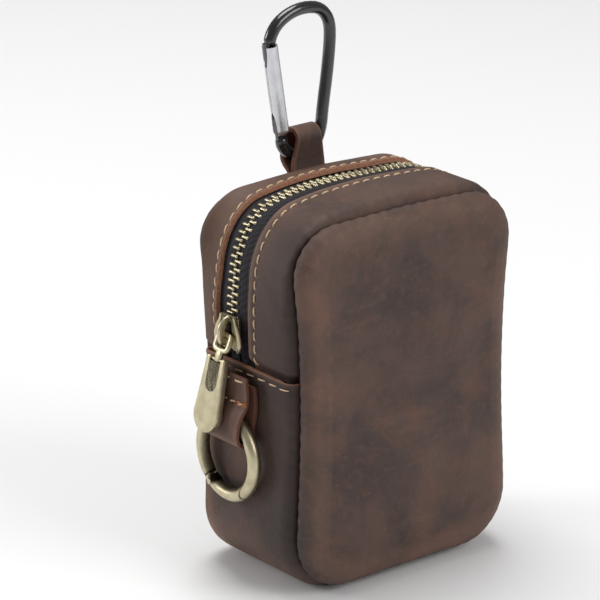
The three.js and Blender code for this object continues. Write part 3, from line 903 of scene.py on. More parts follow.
@dataclass(frozen=True)
class Outline:
    """The pouch's outline: a rounded rectangle with a waist, a raised crown and uneven top corners."""

    width: float = 80.5
    height: float = 109.5
    crown: float = 2.4
    waist: float = 1.9
    waist_height: float = 0.53
    top_radius: float = 16.0
    base_radius: float = 18.5
    front_y: float = -20.7
    back_y: float = 19.8
    corner_seam: float = -1.0
    corner_zip: float = 2.1
    corner_backward: float = 0.06
    corner_right: float = -0.6
    corner_fall: float = 0.86
    swell: float = 0.8
    swell_y: float = -3.8
    swell_reach: float = 17.0

    @property
    def runs(self) -> Array:
        """Where each side, corner and flat starts.

        Returns:
            Millimetres round the plain outline, from the left base corner.
        """
        side = self.height - self.top_radius - self.base_radius
        top = self.top_radius * math.pi / 2
        base = self.base_radius * math.pi / 2
        over = self.width - 2 * self.top_radius
        under = self.width - 2 * self.base_radius
        return np.cumsum([0.0, side, top, over, top, side, base, under, base])

    def left(self, height: float) -> float:
        """The run at a height on the left side."""
        return height - self.base_radius

    def right(self, height: float) -> float:
        """The run at a height on the right side."""
        return self.runs[4] + self.height - self.top_radius - height

    def at(self, inset: Array, y: Array, run: Array) -> Array:
        """Points of the outline at insets, depths and runs.

        Args:
            inset: How far inside the outline, in its own plane.
            y: The depth.
            run: Millimetres round the plain outline, clockwise as seen from the front, from
                the left base corner.

        Returns:
            The points, as shaped() moves them.
        """
        inset, y, run = np.broadcast_arrays(inset, y, run)
        half = self.width / 2
        starts = self.runs
        run = np.mod(run, starts[-1])
        top = np.maximum(self.top_radius - inset, 1.0)
        base = np.maximum(self.base_radius - inset, 1.0)
        side = half - inset
        high = self.height - inset - top
        low = inset + base
        share = [np.clip((run - starts[k]) / (starts[k + 1] - starts[k]), 0.0, 1.0) for k in range(8)]
        turn = [part * math.pi / 2 for part in share]
        inside = [(run >= starts[k]) & (run < starts[k + 1]) for k in range(8)]
        x = np.select(inside, [
            -side, -side + top - top * np.cos(turn[1]), (2 * share[2] - 1) * (side - top),
            side - top + top * np.sin(turn[3]), side, side - base + base * np.cos(turn[5]),
            (1 - 2 * share[6]) * (side - base), -side + base - base * np.sin(turn[7])])
        z = np.select(inside, [
            low + share[0] * (high - low), high + top * np.sin(turn[1]), high + top,
            high + top * np.cos(turn[3]), high - share[4] * (high - low), low - base * np.sin(turn[5]),
            low - base, low - base * np.cos(turn[7])])
        return self.shaped(x, y, z)

    def shaped(self, x: Array, y: Array, z: Array) -> Array:
        """Moves plain points to where the leather has them.

        The waist shrinks x by w sin^2(pi s). The crown and the swell beside the zip raise z by
        (c + s)(1 - x^2).
        Each top corner is pushed in by p and down by 0.86 p; the left one's p falls from the
        zip to the seams as d^8.

        Args:
            x: Plain places across.
            y: Depths.
            z: Plain heights.

        Returns:
            The moved points.
        """
        half = self.width / 2
        share = np.clip(z / self.height - self.waist_height + 0.5, 0.0, 1.0)
        drawn = self.waist * np.sin(math.pi * share) ** 2
        swell = self.swell * np.maximum(1.0 - ((y - self.swell_y) / self.swell_reach) ** 2, 0.0)
        rise = (self.crown + swell) * (1.0 - (x / half) ** 2) * smoothstep(z / self.height, 0.5, 1.0)
        depth = np.clip(y, self.front_y, self.back_y)
        across = (2.0 * depth - self.front_y - self.back_y) / (self.back_y - self.front_y)
        at_zip = self.corner_zip + self.corner_backward * depth
        left = at_zip + (self.corner_seam - at_zip) * across**8
        in_corner = smoothstep(np.abs(x), 8.0, 40.5) * smoothstep(z, 78.0, 100.5)
        push = np.where(x > 0.0, self.corner_right, left) * in_corner
        across = x * (1.0 - drawn / half) - np.sign(x) * push
        return np.stack([across, y, z + rise - self.corner_fall * push], axis=-1)


@dataclass(frozen=True)
class Stitching:
    """A row of thread stitches."""

    pitch: float = 3.75
    length: float = 2.75
    radius: float = 0.26
    slant: float = 0.1

    def shape(self) -> Array:
        """One stitch: an arched thread whose ends turn down into their holes, z = h(1 - (2x/l)^4) - 0.25.

        Returns:
            One stitch's grid of points.
        """
        share = np.linspace(-1.0, 1.0, 7)
        x = share * self.length / 2
        z = 0.34 * (1.0 - share**4) - 0.16
        radius = self.radius * np.sqrt(1.0 - 0.55 * share**4)
        angle = np.linspace(0.0, 2.0 * math.pi, 6, endpoint=False)
        ring_y = radius[:, None] * np.cos(angle)
        ring_z = z[:, None] + radius[:, None] * np.sin(angle)
        return np.stack([np.broadcast_to(x[:, None], ring_y.shape), ring_y, ring_z], axis=-1)

    def sew(self, draft: Draft, path: Array, normals: Array, seed: int = 3) -> None:
        """Puts stitches along a path on a surface, a little uneven as a machine's are.

        Args:
            draft: The piece that takes them.
            path: Points on the surface.
            normals: The surface's outward normals there.
            seed: Picks the unevenness.
        """
        length = along(path)
        count = max(int(length[-1] / self.pitch), 1)
        dice = np.random.default_rng(seed)
        stations = (np.arange(count) + 0.5) * length[-1] / count + dice.normal(0.0, 0.05, count)
        origins = resample(path, stations)
        ahead = resample(path, np.minimum(stations + 0.4, length[-1]))
        behind = resample(path, np.maximum(stations - 0.4, 0.0))
        up = unit(np.stack([np.interp(stations, length, normals[:, axis]) for axis in range(3)], axis=1))
        tangent = unit(ahead - behind)
        across = np.cross(up, tangent)
        lean = dice.normal(self.slant, 0.03, count)[:, None]
        tangent = unit(tangent + lean * across)
        draft.add_copies(self.shape(), origins, (tangent, unit(np.cross(up, tangent)), up))


@dataclass
class Pouch:
    """The leather body: two domed faces, the lower gusset and the two strips beside the zip."""

    finishes: Finishes
    outline: Outline = Outline()
    leather: float = 1.6
    pared: float = 0.85
    gap: float = 0.3
    front_y: float = -20.7
    back_y: float = 19.8
    seam_inset: float = 3.4
    flange: float = 3.0
    roll_depth: float = 3.8
    zip_y: float = 6.2
    opening: float = 6.5
    front_opening: float = 8.0
    fold_height: float = 65.0
    hem_stitch: float = 1.9
    front_stitch: float = 2.8
    back_stitch: float = 1.0
    stitch: Stitching = Stitching()
    hem: Stitching = Stitching(pitch=4.7, length=3.5, radius=0.24, slant=0.04)

    def face(self, name: str, node: str, seam_y: float, lip: tuple[float, float], roll: tuple[float, float],
             dome: float, seed: int) -> None:
        """Makes the front or back face as one moulded sheet.

        Its profile runs from the seam's flange round a lip, over a roll and across a low dome,
        y = d(1 - s^2), where s is the share of the way from the middle to the roll.

        Args:
            name: The piece's name.
            node: The CAD node that it stands for.
            seam_y: The seam's depth.
            lip: How far the lip comes forward in inset and in depth.
            roll: The same for the roll to the flat.
            dome: The dome's rise d.
            seed: Picks its soft dents.
        """
        out = math.copysign(1.0, seam_y)
        start = (self.seam_inset + 0.5, seam_y + out * self.gap / 2)
        edge = (start[0] - lip[0], start[1] + out * lip[1])
        flat = (edge[0] + roll[0], edge[1] + out * roll[1])
        flange = np.linspace([start[0] + self.flange, start[1]], start, 5)
        profile = np.concatenate([flange, quarter_roll(start, edge, 8), quarter_roll_across(edge, flat, 14)])
        run = np.linspace(0.0, self.outline.runs[-1], 560, endpoint=False)[::int(out), None]
        rolled = self.outline.at(profile[None, :, 0], profile[None, :, 1], run)
        share = np.linspace(1.0, 0.0, 26)[None, 1:, None]
        middle = np.array([0.0, flat[1], self.outline.height / 2])
        inner = middle + (rolled[:, -1:] - middle) * share
        inner[..., 1] = flat[1] + out * dome * (1.0 - share[..., 0] ** 2)
        grid = np.concatenate([rolled, inner], axis=1)
        inset = np.concatenate([profile[:, 0], np.full(share.shape[1], 30.0)])
        depth = np.abs(grid[..., 1] - seam_y)
        normals = surface_normals(grid, closed_rows=True)
        pull = np.exp(-((depth - 2.0) / 2.4) ** 2) * (inset[None] < 12.0)
        phase = 2.0 * math.pi * run / 4.3 + 1.2 * waves(grid, 30.0, seed + 4)
        pucker = (0.12 if out < 0 else 0.02) * np.sin(phase) * pull
        dents = 0.3 * waves(grid, 34.0, seed) * smoothstep(depth, 2.0, 7.0)
        grid = grid + normals * (dents + pucker)[..., None]
        grid[:, -1] = grid[:, -1].mean(axis=0)
        rub = smoothstep(depth, 2.5, 6.0) * (1.0 - smoothstep(depth, 6.2, 7.6)) * (inset[None] < 12.0)
        draft = Draft(name)
        # Painted shade along the seam's groove, partly oil darkening, goes in as a negative painted value.
        oil_and_shade = 0.8 * (1.0 - smoothstep(depth, 0.4, 1.9)) * (inset[None] < 12.0)
        draft.add_slab(grid, self.leather, closed_rows=True, pole=True, wear=rub * 0.3 - oil_and_shade)
        draft.build(self.finishes.leather, Body.POUCH, [node])

    def seam_roll(self, seam_y: float, steps: int = 10) -> Array:
        """The gusset's profile at a seam: a flange and a roll on to the side, as [inset, y] points.

        Args:
            seam_y: The seam's depth.
            steps: How many points the roll has.

        Returns:
            The profile's points.
        """
        out = math.copysign(1.0, seam_y)
        y = seam_y - out * self.gap / 2
        start = (self.seam_inset, y)
        flange = np.linspace([start[0] + self.flange, y], start, 5)
        power = 0.5 if out > 0 else 1.0
        return np.concatenate([flange, quarter_roll(start, (0.0, y - out * self.roll_depth), steps, power)])

    def dip(self, height: Array) -> Array:
        """How far a strip lies behind the gusset's hem: the hem's thickness and a gap, below the fold."""
        above = smoothstep(height, self.fold_height + 0.2, self.fold_height + 3.4)
        return (self.leather + self.gap) * (1.0 - above)

    def band(self, profile: Array, run: Array, seed: int, dips: bool, lift: Amount = 0.0) -> Array:
        """Carries a profile along part of the outline and adds soft relief.

        Args:
            profile: [inset, y] points across the band.
            run: Where the rows are, round the outline.
            seed: Picks the soft dents.
            dips: Whether the band goes behind the hem.
            lift: More relief, added along the normals.

        Returns:
            The outer surface, whose normals point out.
        """
        grid = self.outline.at(profile[None, :, 0], profile[None, :, 1], run[:, None])
        normals = surface_normals(grid)
        middle = np.array([0.0, 0.0, self.outline.height / 2])
        facing = np.sign(np.sum(normals * (grid - middle), axis=-1).mean())
        normals = normals * facing
        relief = 0.22 * waves(grid, 26.0, seed) + lift
        if dips:
            relief = relief * smoothstep(grid[..., 2], self.fold_height - 1.0, self.fold_height + 6.0)
            relief = relief - self.dip(grid[..., 2])
        grid = grid + normals * relief[..., None]
        return grid if facing > 0 else grid[::-1]

    def profile_of(self, corners: Array, count: int) -> Array:
        """Spaces a profile's points closely at its two edges and evenly between."""
        return resample(corners, edge_stations(along(corners)[-1], count, 0.4))

    def skived(self, y: Array) -> Array:
        """The gusset's thickness by depth: it is pared thin where it turns into a seam."""
        return self.leather - self.pared * smoothstep(np.abs(y), 14.6, 17.6)

    def pucker(self, run: Array, y: Array) -> Array:
        """Small waves where the front seam gathers the gusset."""
        return 0.1 * np.sin(2 * math.pi * run[:, None] / 4.3) * np.exp(-((y + 19.0) / 1.6) ** 2)

    def shade(self, grid: Array) -> Array:
        """Painted wear and shade: painted shade, partly oil, darkens the sides towards the front seam; the
        back roll and the base are rubbed.

        Args:
            grid: The outer surface.

        Returns:
            Wear for each point, below 0 where painted shade darkens it.
        """
        x, y, z = grid[..., 0], grid[..., 1], grid[..., 2]
        # Painted shade, partly oil darkening, on the sides towards the front seam, fading towards the back
        # and the base.
        beside = smoothstep(-y, -6.0, 19.0) * smoothstep(np.abs(x), 26.0, 36.0)
        low = 1.0 - smoothstep(z, 6.0, 22.0)
        return 0.45 * np.exp(-((y - 17.0) / 3.0) ** 2) + 0.25 * low - 0.7 * beside * (1.0 - low)

    def lower_gusset(self) -> None:
        """The gusset under and beside the pouch, whose two ends are stitched hems over the strips."""
        width = np.linspace([0.0, self.front_y + 4.0], [0.0, self.back_y - 4.0], 20)
        corners = np.concatenate([self.seam_roll(self.front_y), width, self.seam_roll(self.back_y)[::-1]])
        profile = self.profile_of(corners, 60)
        first = self.outline.right(self.fold_height)
        last = self.outline.left(self.fold_height) + self.outline.runs[-1]
        run = first + edge_stations(last - first, 330, 0.4)
        near = np.minimum(run - first, last - run)[:, None]
        groove = -0.16 * np.exp(-((near - self.hem_stitch) / 0.8) ** 2)
        swell = 0.18 * np.exp(-((near - 0.9) / 1.0) ** 2)
        y = profile[None, :, 1]
        pucker = self.pucker(run, y)
        grid = self.band(profile, run, 21, False, groove + swell + pucker)
        grid[..., 2] = np.maximum(grid[..., 2], 0.02)
        # The sum holds the rubbed hem edge and the painted shade from shade().
        rub = np.exp(-(near / 0.9) ** 2) * 0.9 + self.shade(grid)
        draft = Draft("lower_gusset_leather")
        draft.add_slab(grid, self.skived(profile[:, 1]), 0.36, wear=np.broadcast_to(rub, grid.shape[:2]))
        draft.build(self.finishes.leather, Body.POUCH, ["lower_gusset"])
        thread = Draft("hem_stitches")
        inside = (profile[:, 1] > self.front_y + 1.0) & (profile[:, 1] < self.back_y - 3.0)
        normals = surface_normals(grid)
        for end in (self.hem_stitch, -self.hem_stitch):
            target = first + end if end > 0 else last + end
            row = int(np.argmin(np.abs(run - target)))
            self.hem.sew(thread, grid[row][inside], normals[row][inside], seed=row)
        thread.build(self.finishes.thread, Body.POUCH)

    def strip(self, row: Row) -> None:
        """A strip beside the zip, cut along the zip and stitched near its edge.

        Args:
            row: Which side of the zip it is on.
        """
        seam = self.front_y if row is Row.FRONT else self.back_y
        edge = self.zip_y + row.value * (self.front_opening if row is Row.FRONT else self.opening)
        gap = self.front_stitch if row is Row.FRONT else self.back_stitch
        line = edge + row.value * gap
        roll = self.seam_roll(seam)
        corners = np.concatenate([roll, np.linspace(roll[-1], [0.0, edge], 14)[1:]])
        profile = self.profile_of(corners, 70)
        first, last = self.outline.left(60.0), self.outline.right(60.0)
        run = np.linspace(first, last, 330)
        y = profile[None, :, 1]
        groove = -0.2 * np.exp(-((y - line) / 0.75) ** 2)
        swell = 0.1 * np.exp(-((y - edge) / 1.2) ** 2)
        pucker = self.pucker(run, y)
        grid = self.band(profile, run, 33 + row.value, True, groove + swell + pucker)
        near = np.abs(y - edge)
        # The sum holds the rubbed zip edge and the painted shade from shade().
        rub = 0.75 * np.exp(-(near / 1.6) ** 2) + self.shade(grid)
        name = row.name.lower()
        draft = Draft(name + "_strip_leather")
        draft.add_slab(grid, self.skived(profile[:, 1]), 0.36, wear=np.broadcast_to(rub, grid.shape[:2]))
        draft.build(self.finishes.leather, Body.POUCH, [name + "_strip"])
        thread = Draft(name + "_strip_stitches")
        column = int(np.argmin(np.abs(profile[:, 1] - line)))
        path = grid[:, column]
        normals = surface_normals(grid)[:, column]
        shown = path[:, 2] > self.fold_height + 1.0
        self.stitch.sew(thread, path[shown], normals[shown], seed=40 + row.value)
        thread.build(self.finishes.thread, Body.POUCH)

    def make(self) -> None:
        """Makes every leather piece of the pouch."""
        self.face("front_panel_leather", "front_panel", self.front_y, (1.8, 2.1), (6.6, 4.6), 1.2, 5)
        self.face("back_panel_leather", "back_panel", self.back_y, (0.9, 1.3), (4.7, 2.2), 0.6, 8)
        self.lower_gusset()
        self.strip(Row.FRONT)
        self.strip(Row.BACK)


# The zip


@dataclass
class Zip:
    """The zip's tapes and interlocked metal teeth."""

    finishes: Finishes
    pouch: Pouch
    chain_inset: float = 1.6
    tape_thickness: float = 0.6
    pitch: float = 2.31
    slider_height: float = 73.8
    tooth: tuple[float, float, float] = (0.96, 2.9, 2.1)

    def tape(self, row: Row) -> None:
        """One tape, from the teeth to under its strip, with its corded edge.

        Args:
            row: Which side of the zip it is on.
        """
        outline = self.pouch.outline
        across = edge_stations(12.6, 26, 0.28) + 0.35
        under = self.pouch.leather + self.pouch.gap
        rise = self.chain_inset - self.tape_thickness / 2
        inset = rise + (under - rise) * smoothstep(across, 3.4, 5.8)
        side = row.value
        profile = np.stack([inset, self.pouch.zip_y + side * across], axis=1)
        if side < 0:
            profile = profile[::-1]
        run = np.linspace(outline.left(60.0), outline.right(60.0), 300)
        grid = self.pouch.band(profile, run, 50 + side, True)
        name = "tape_" + row.name.lower()
        draft = Draft(name + "_cloth")
        draft.add_slab(grid, self.tape_thickness, radius=0.28)
        draft.build(self.finishes.tape, Body.POUCH, [name])

    def tooth_shape(self) -> Array:
        """One tooth: a bar whose rounded nose stands a little higher than its legs.

        Every ring round the bar is a squarish curve, |cos a|^0.45, and its size follows the place
        along the bar.

        Returns:
            One tooth's grid of points.
        """
        place = np.array([-1.0, -0.97, -0.82, -0.2, 0.3, 0.72, 0.93, 1.0])
        wide = np.array([0.45, 0.85, 1.0, 0.82, 0.8, 1.0, 0.85, 0.4]) * self.tooth[0] / 2
        tall = np.array([0.55, 0.88, 1.0, 0.94, 0.92, 1.04, 0.86, 0.42]) * self.tooth[2] / 2
        angle = np.linspace(0.0, 2.0 * math.pi, 8, endpoint=False) + math.pi / 8
        cosine = np.sign(np.cos(angle)) * np.abs(np.cos(angle)) ** 0.45
        sine = np.sign(np.sin(angle)) * np.abs(np.sin(angle)) ** 0.45
        x = wide[:, None] * cosine
        z = tall[:, None] * sine
        y = np.broadcast_to((place * self.tooth[1] / 2)[:, None], x.shape)
        return np.stack([x, y, z], axis=-1)

    def teeth(self, row: Row) -> None:
        """One row of teeth. The two rows are half a pitch apart and meet past the middle.

        Args:
            row: Which side of the zip it is on.
        """
        outline = self.pouch.outline
        first, last = outline.left(self.slider_height + 3.2), outline.right(self.pouch.fold_height + 3.0)
        dense = np.linspace(first, last, 600)
        line = outline.at(np.array(self.chain_inset), np.array(self.pouch.zip_y), dense)
        length = along(line)
        offset = 0.8 if row is Row.FRONT else 0.8 + self.pitch / 2
        stations = np.arange(offset, length[-1] - 0.6, self.pitch)
        origins = resample(line, stations)
        tangent = unit(resample(line, stations + 0.3) - resample(line, stations - 0.3))
        across = np.broadcast_to([0.0, float(row.value), 0.0], tangent.shape)
        normal = np.cross(across, tangent) * row.value
        name = "teeth_" + row.name.lower()
        draft = Draft(name + "_metal")
        middle = self.tooth[1] / 2 - 0.45
        draft.add_copies(self.tooth_shape(), origins + across * middle, (tangent, -across, normal))
        draft.build(self.finishes.brass, Body.POUCH, [name])

    def make(self) -> None:
        """Makes both tapes and both rows of teeth."""
        for row in Row:
            self.tape(row)
            self.teeth(row)


@dataclass
class Puller:
    """The zip's slider, its link and the slotted tongue that hangs from it."""

    finishes: Finishes
    pouch: Pouch
    height: float = 73.8
    length: float = 10.4
    shoulder: float = 4.95
    mouth: float = 3.7
    plate: float = 1.0
    channel: float = 1.5
    rise: float = 2.9
    link_width: float = 7.2
    link_length: float = 7.2
    wire: float = 1.5
    link_lean: float = 25.0
    tongue_lean: float = 16.4
    tongue_length: float = 22.6
    tongue_width: float = 10.8
    tongue_top: float = 8.4
    tongue_thick: float = 2.1
    slot: float = 4.4
    slot_depth: float = 10.4

    def slider_place(self) -> Place:
        """The slider's frame: x to the front, y up along the chain and z out from it.

        Returns:
            The frame.
        """
        outline = self.pouch.outline
        heights = np.array([self.height, self.height - 4.0, self.height + 4.0])
        half = outline.width / 2
        points = outline.shaped(np.full(3, 1.6 - half), np.full(3, self.pouch.zip_y), heights)
        up = unit(points[2] - points[1])
        front = np.array([0.0, -1.0, 0.0])
        return Place(points[0], front, up, np.cross(front, up))

    def slider_outline(self) -> Array:
        """A narrow mouth at the top, round shoulders and a notch between two lobes.

        Returns:
            A closed row of [x, y] points.
        """
        end, wide, mouth = self.length / 2, self.shoulder, self.mouth
        right = [(0.0, 1.9 - end), (0.9, 1.7 - end), (1.6, -end + 0.1), (2.9, -end), (wide - 0.7, -end + 0.5),
                 (wide, -2.4), (wide - 0.1, -0.6), (mouth + 0.3, 1.4), (mouth, 2.6), (mouth, end - 0.6),
                 (mouth - 0.5, end), (0.0, end)]
        left = [(-x, y) for x, y in right[::-1]]
        return rounded_path(right + left[1:], 3)[:-1]

    def slider(self) -> None:
        """Two plates, a post between them, flanges beside the chain and the bridge that holds the link."""
        place = self.slider_place()
        outline = self.slider_outline()
        draft = Draft("slider_metal")
        top = self.channel + self.plate
        # Painted shade darkens the top plate towards the mouth.
        mouth_shade = 0.1 + 0.6 * smoothstep(outline[:, 1], 1.5, 4.6)
        draft.add_plate(outline, self.plate, 0.4, place.moved(0, 0, self.channel + self.plate / 2),
                        wear=np.broadcast_to(mouth_shade, (12, len(outline))))
        # A thin dark sheet is painted shade in the hollow under the bridge.
        recess_shade = np.array([(-1.3, -4.3), (1.3, -4.3), (1.8, -1.0), (1.6, 3.4), (-1.6, 3.4), (-1.8, -1.0)])
        draft.add_plate(recess_shade, 0.12, 0.05, place.moved(0, 0, top - 0.03), wear=1.0)
        for side in (-1, 1):
            lobe = rounded_path([(side * 2.9, 4.9, top), (side * 3.5, 2.9, top), (side * 4.7, 0.9, top + 0.1),
                                 (side * 5.2, -2.4, top + 0.2), (side * 4.2, -5.2, top)], 3)
            reach = np.interp(np.linspace(0.0, 1.0, len(lobe)), [0.0, 0.3, 0.75, 1.0], [0.4, 0.5, 1.0, 0.4])
            draft.add_rod(place.world(lobe), reach, 16, up=place.z, square=0.75, flat=0.75)
        spring = np.array([(-1.7, 4.0, top + 0.3), (0.0, 4.4, top + 0.35), (1.7, 4.8, top + 0.3)])
        # The spring is painted a little darker.
        draft.add_rod(place.world(spring), 0.28, 10, up=place.z, wear=0.3)
        draft.add_plate(outline, self.plate, 0.4, place.moved(0, 0, -self.channel - self.plate / 2))
        post = np.array([(-0.8, -3.4), (0.8, -3.4), (0.8, -0.8), (-0.8, -0.8)])
        draft.add_plate(post, 2 * self.channel + 0.6, 0.1, place)
        for side in (-1, 1):
            lip = np.array([(-0.35, -3.0), (0.35, -3.0), (0.35, 3.0), (-0.35, 3.0)])
            for face in (-1, 1):
                where = place.moved(side * (self.mouth - 0.35), 1.4, face * (self.channel - 0.3))
                draft.add_plate(lip, 0.9, 0.12, where)
        crest = top + self.rise - 0.35
        arch = rounded_path([(0, -2.3, top - 0.4), (0, -2.3, crest - 0.4), (0, -1.2, crest), (0, 1.6, crest),
                             (0, 3.3, top + 1.1), (0, 3.8, top - 0.4)], 4)
        draft.add_rod(place.world(arch), 1.25, 16, up=place.x, square=0.5, flat=0.5)
        draft.build(self.finishes.brass, Body.POUCH, ["slider"], sharp=50)

    def link(self) -> Place:
        """The link: a squarish loop through the bridge, a stem and the cross pin.

        Returns:
            The tongue's frame.
        """
        height = self.channel + self.plate + self.wire / 2 + 0.1
        place = self.slider_place().moved(0, -0.45, height, -self.link_lean)
        half = (self.link_width - self.wire) / 2
        corners = [(-half, 0.0, 0.0), (half, 0.0, 0.0), (half, -4.7, 0.0), (-half, -4.7, 0.0)]
        loop = rounded_loop(corners, 0.8, 72)
        draft = Draft("pull_link_metal")
        stout = self.wire / 2 - 0.08 * (1.0 - smoothstep(-loop[:, 1], 0.4, 1.4))
        draft.add_rod(place.world(loop), stout, 14, closed=True, up=place.z, square=0.6)
        stem = np.array([(0.0, -4.9, 0.0), (0.0, -5.4, 0.0), (0.0, -self.link_length - 0.6, 0.0),
                         (0.0, -self.link_length - 1.1, 0.0)])
        stem_reach = np.array([1.3, 1.3, 1.3, 1.0])
        draft.add_rod(place.world(stem), stem_reach, 16, up=place.z, square=0.5, flat=0.58)
        pin_y = -self.link_length - 0.4
        pin = np.array([(-3.4, pin_y, 0.0), (0.0, pin_y, 0.0), (3.4, pin_y, 0.0)])
        draft.add_rod(place.world(pin), 0.5, 12, up=place.z)
        draft.build(self.finishes.brass, Body.LINK, ["pull_link"], sharp=60)
        return place.moved(0, pin_y, 0, self.link_lean - self.tongue_lean)

    def tongue(self, place: Place) -> None:
        """The tongue: a long drop with two prongs at the top and softly rounded edges.

        Args:
            place: The tongue's frame, at its pin.
        """
        half, top, slot = self.tongue_width / 2, self.tongue_top / 2, self.slot / 2
        low = 1.6 - self.tongue_length
        slot_end = 1.6 - self.slot_depth + slot
        bottom = np.linspace(math.pi, 2 * math.pi, 40)
        drop = np.stack([half * np.cos(bottom), low + half + half * np.sin(bottom)], axis=1)
        right = rounded_path([(top - 0.1, -0.4), (top - 0.2, 0.9), (slot + 0.2, 0.9), (slot, -0.4)], 3)
        inner = np.linspace(0.0, -math.pi, 24)
        notch = np.stack([slot * np.cos(inner), slot_end + slot * np.sin(inner)], axis=1)
        left = right[::-1] * [-1, 1]
        outline = np.concatenate([drop, right, notch, left])
        keep = np.linalg.norm(outline - np.roll(outline, 1, axis=0), axis=1) > 1e-3
        draft = Draft("pull_tongue_metal")
        shown = outline[keep]
        # Painted shade darkens the side walls of the slot.
        slot_shade_mask = (np.abs(shown[:, 0]) < self.slot / 2 + 0.05) & (shown[:, 1] > slot_end - slot - 0.05)
        inside = np.array([0.0, 0.0, 0.3, 0.9, 1.0, 1.0, 1.0, 1.0, 0.9, 0.3, 0.0, 0.0])
        draft.add_plate(shown, self.tongue_thick, 0.34, place, wear=inside[:, None] * slot_shade_mask[None])
        draft.build(self.finishes.brass, Body.TONGUE, ["pull_tongue"], sharp=50)

    def make(self) -> None:
        """Makes the slider, the link and the tongue."""
        self.slider()
        self.tongue(self.link())


# The ring, the hook and their straps


@dataclass
class SpringRing:
    """The round spring gate ring on the left side. Angles run from its top towards the back of the bag."""

    finishes: Finishes
    centre: tuple[float, float, float] = (-42.2, 3.6, 38.3)
    radius: float = 11.95
    wire: float = 1.95
    hinge: float = 134.0
    pivot: float = 146.0
    mouth: float = 220.5
    hinge_gap: float = 1.6
    mouth_gap: float = 0.8
    corner: float = 2.05

    def on_ring(self, angle: Array, radius: Amount, x: Amount = 0.0) -> Array:
        """Points at angles in degrees and radii in the ring's plane, x out of it.

        Args:
            angle: Degrees from the ring's top towards the back.
            radius: From the ring's centre.
            x: Out of the ring's plane.

        Returns:
            The points.
        """
        turn = np.radians(angle)
        angle, radius, x = np.broadcast_arrays(turn, radius, x)
        return np.array(self.centre) + np.stack([x, radius * np.sin(angle), radius * np.cos(angle)], axis=-1)

    def arc(self, draft: Draft, start: float, end: float, steps: int, ends: tuple[Array, Array]) -> None:
        """A round rod along the ring, whose end faces lean: each point's angle changes with its radius.

        Args:
            draft: The piece that takes it.
            start: The first angle.
            end: The last angle.
            steps: How many rings of points it has.
            ends: For each end, the angle's change in degrees with the radius at 12 steps over the wire.
        """
        around = np.linspace(0.0, 2 * math.pi, 28, endpoint=False)
        radial = self.wire * np.cos(around)
        out = self.wire * np.sin(around)
        soft = np.concatenate([[0.0, 0.15, 0.5], np.linspace(1.0, 99.0, steps), [99.5, 99.85, 100.0]]) / 100
        slim = 1.0 - 0.09 * np.exp(-(np.minimum(soft, 1 - soft) / 0.004))
        spread = np.linspace(-self.wire, self.wire, len(ends[0]))
        first = np.interp(radial, spread, ends[0])
        last = np.interp(radial, spread, ends[1])
        fade = np.exp(-((soft / 0.1) ** 2))[:, None]
        fade_back = np.exp(-(((1 - soft) / 0.1) ** 2))[:, None]
        angle = start + (end - start) * soft[:, None] + fade * first + fade_back * last
        grid = self.on_ring(angle, self.radius + radial * slim[:, None], out * slim[:, None])
        # Painted shade darkens the ring's inner side, the spring's hollow by the pivot and the cut ends at
        # the joints.
        inner = smoothstep(-radial / self.wire, 0.25, 0.95)[None]
        facing_in = smoothstep(-radial / self.wire, 0.0, 0.45)[None]
        recess_shade = np.exp(-((angle - self.pivot - 1.0) / 8.0) ** 2) * facing_in
        joint_shade = 0.6 * np.exp(-(np.minimum(soft, 1 - soft) / 0.006))[:, None]
        wear = np.clip(0.55 * inner + recess_shade + joint_shade, 0.0, 1.0)
        draft.add_grid(grid, closed_columns=True, capped=True, wear=wear)

    def make(self) -> None:
        """Makes the ring's body, its gate and the hinge's rivet."""
        straight = np.zeros(12)
        spread = np.linspace(-1.0, 1.0, 12)
        lean = np.degrees(np.arcsin(self.radius * math.sin(math.radians(self.mouth - 180.0))
                                    / (self.radius + spread * self.wire))) + 180.0 - self.mouth
        bulge = lean - 5.0 * (1.0 - spread**2) + 1.2
        body = Draft("ring_body_metal")
        self.arc(body, self.mouth - 360.0 + self.mouth_gap, self.hinge, 150, (bulge, straight))
        lug = self.on_ring(np.linspace(self.hinge - 2, self.pivot + 6, 9), self.radius)
        body.add_rod(lug, 0.55, 12, up=(1.0, 0.0, 0.0), square=0.4, flat=1.6)
        body.build(self.finishes.brass, Body.RING, ["ring_body"], sharp=50)
        across = spread * self.wire
        kept = np.degrees(np.sqrt(self.corner**2 - across**2) / (self.radius + across))
        cut_back = np.maximum(self.pivot - kept - self.hinge - self.hinge_gap, 0.0)
        rounded = np.where(across < 0.0, cut_back, 0.0)
        gate = Draft("ring_gate_metal")
        self.arc(gate, self.hinge + self.hinge_gap, self.mouth - self.mouth_gap, 70, (rounded, bulge))
        gate.build(self.finishes.brass, Body.RING_GATE, ["ring_gate"], sharp=50)
        rivet = Draft("ring_rivet_metal")
        reach = np.array([-2.13, -2.14, -2.2, -2.16, -1.95, 0.0, 1.95, 2.16, 2.2, 2.14, 2.13])
        radius = np.array([0.15, 0.36, 0.52, 0.84, 0.98, 0.75, 0.98, 0.84, 0.52, 0.36, 0.15])
        # Painted shade darkens the hollow middle of each rivet head and the part inside the ring.
        hollow_shade = np.array([1.0, 1.0, 0.0, 0.0, 1.0, 1.0, 1.0, 0.0, 0.0, 1.0, 1.0])
        middle = self.on_ring(np.full(len(reach), self.pivot), self.radius, reach)
        rivet.add_rod(middle, radius, 20, up=(0.0, 1.0, 0.0), wear=np.repeat(hollow_shade[:, None], 20, axis=1))
        rivet.build(self.finishes.brass, Body.RING, ["ring_rivet"], sharp=50)


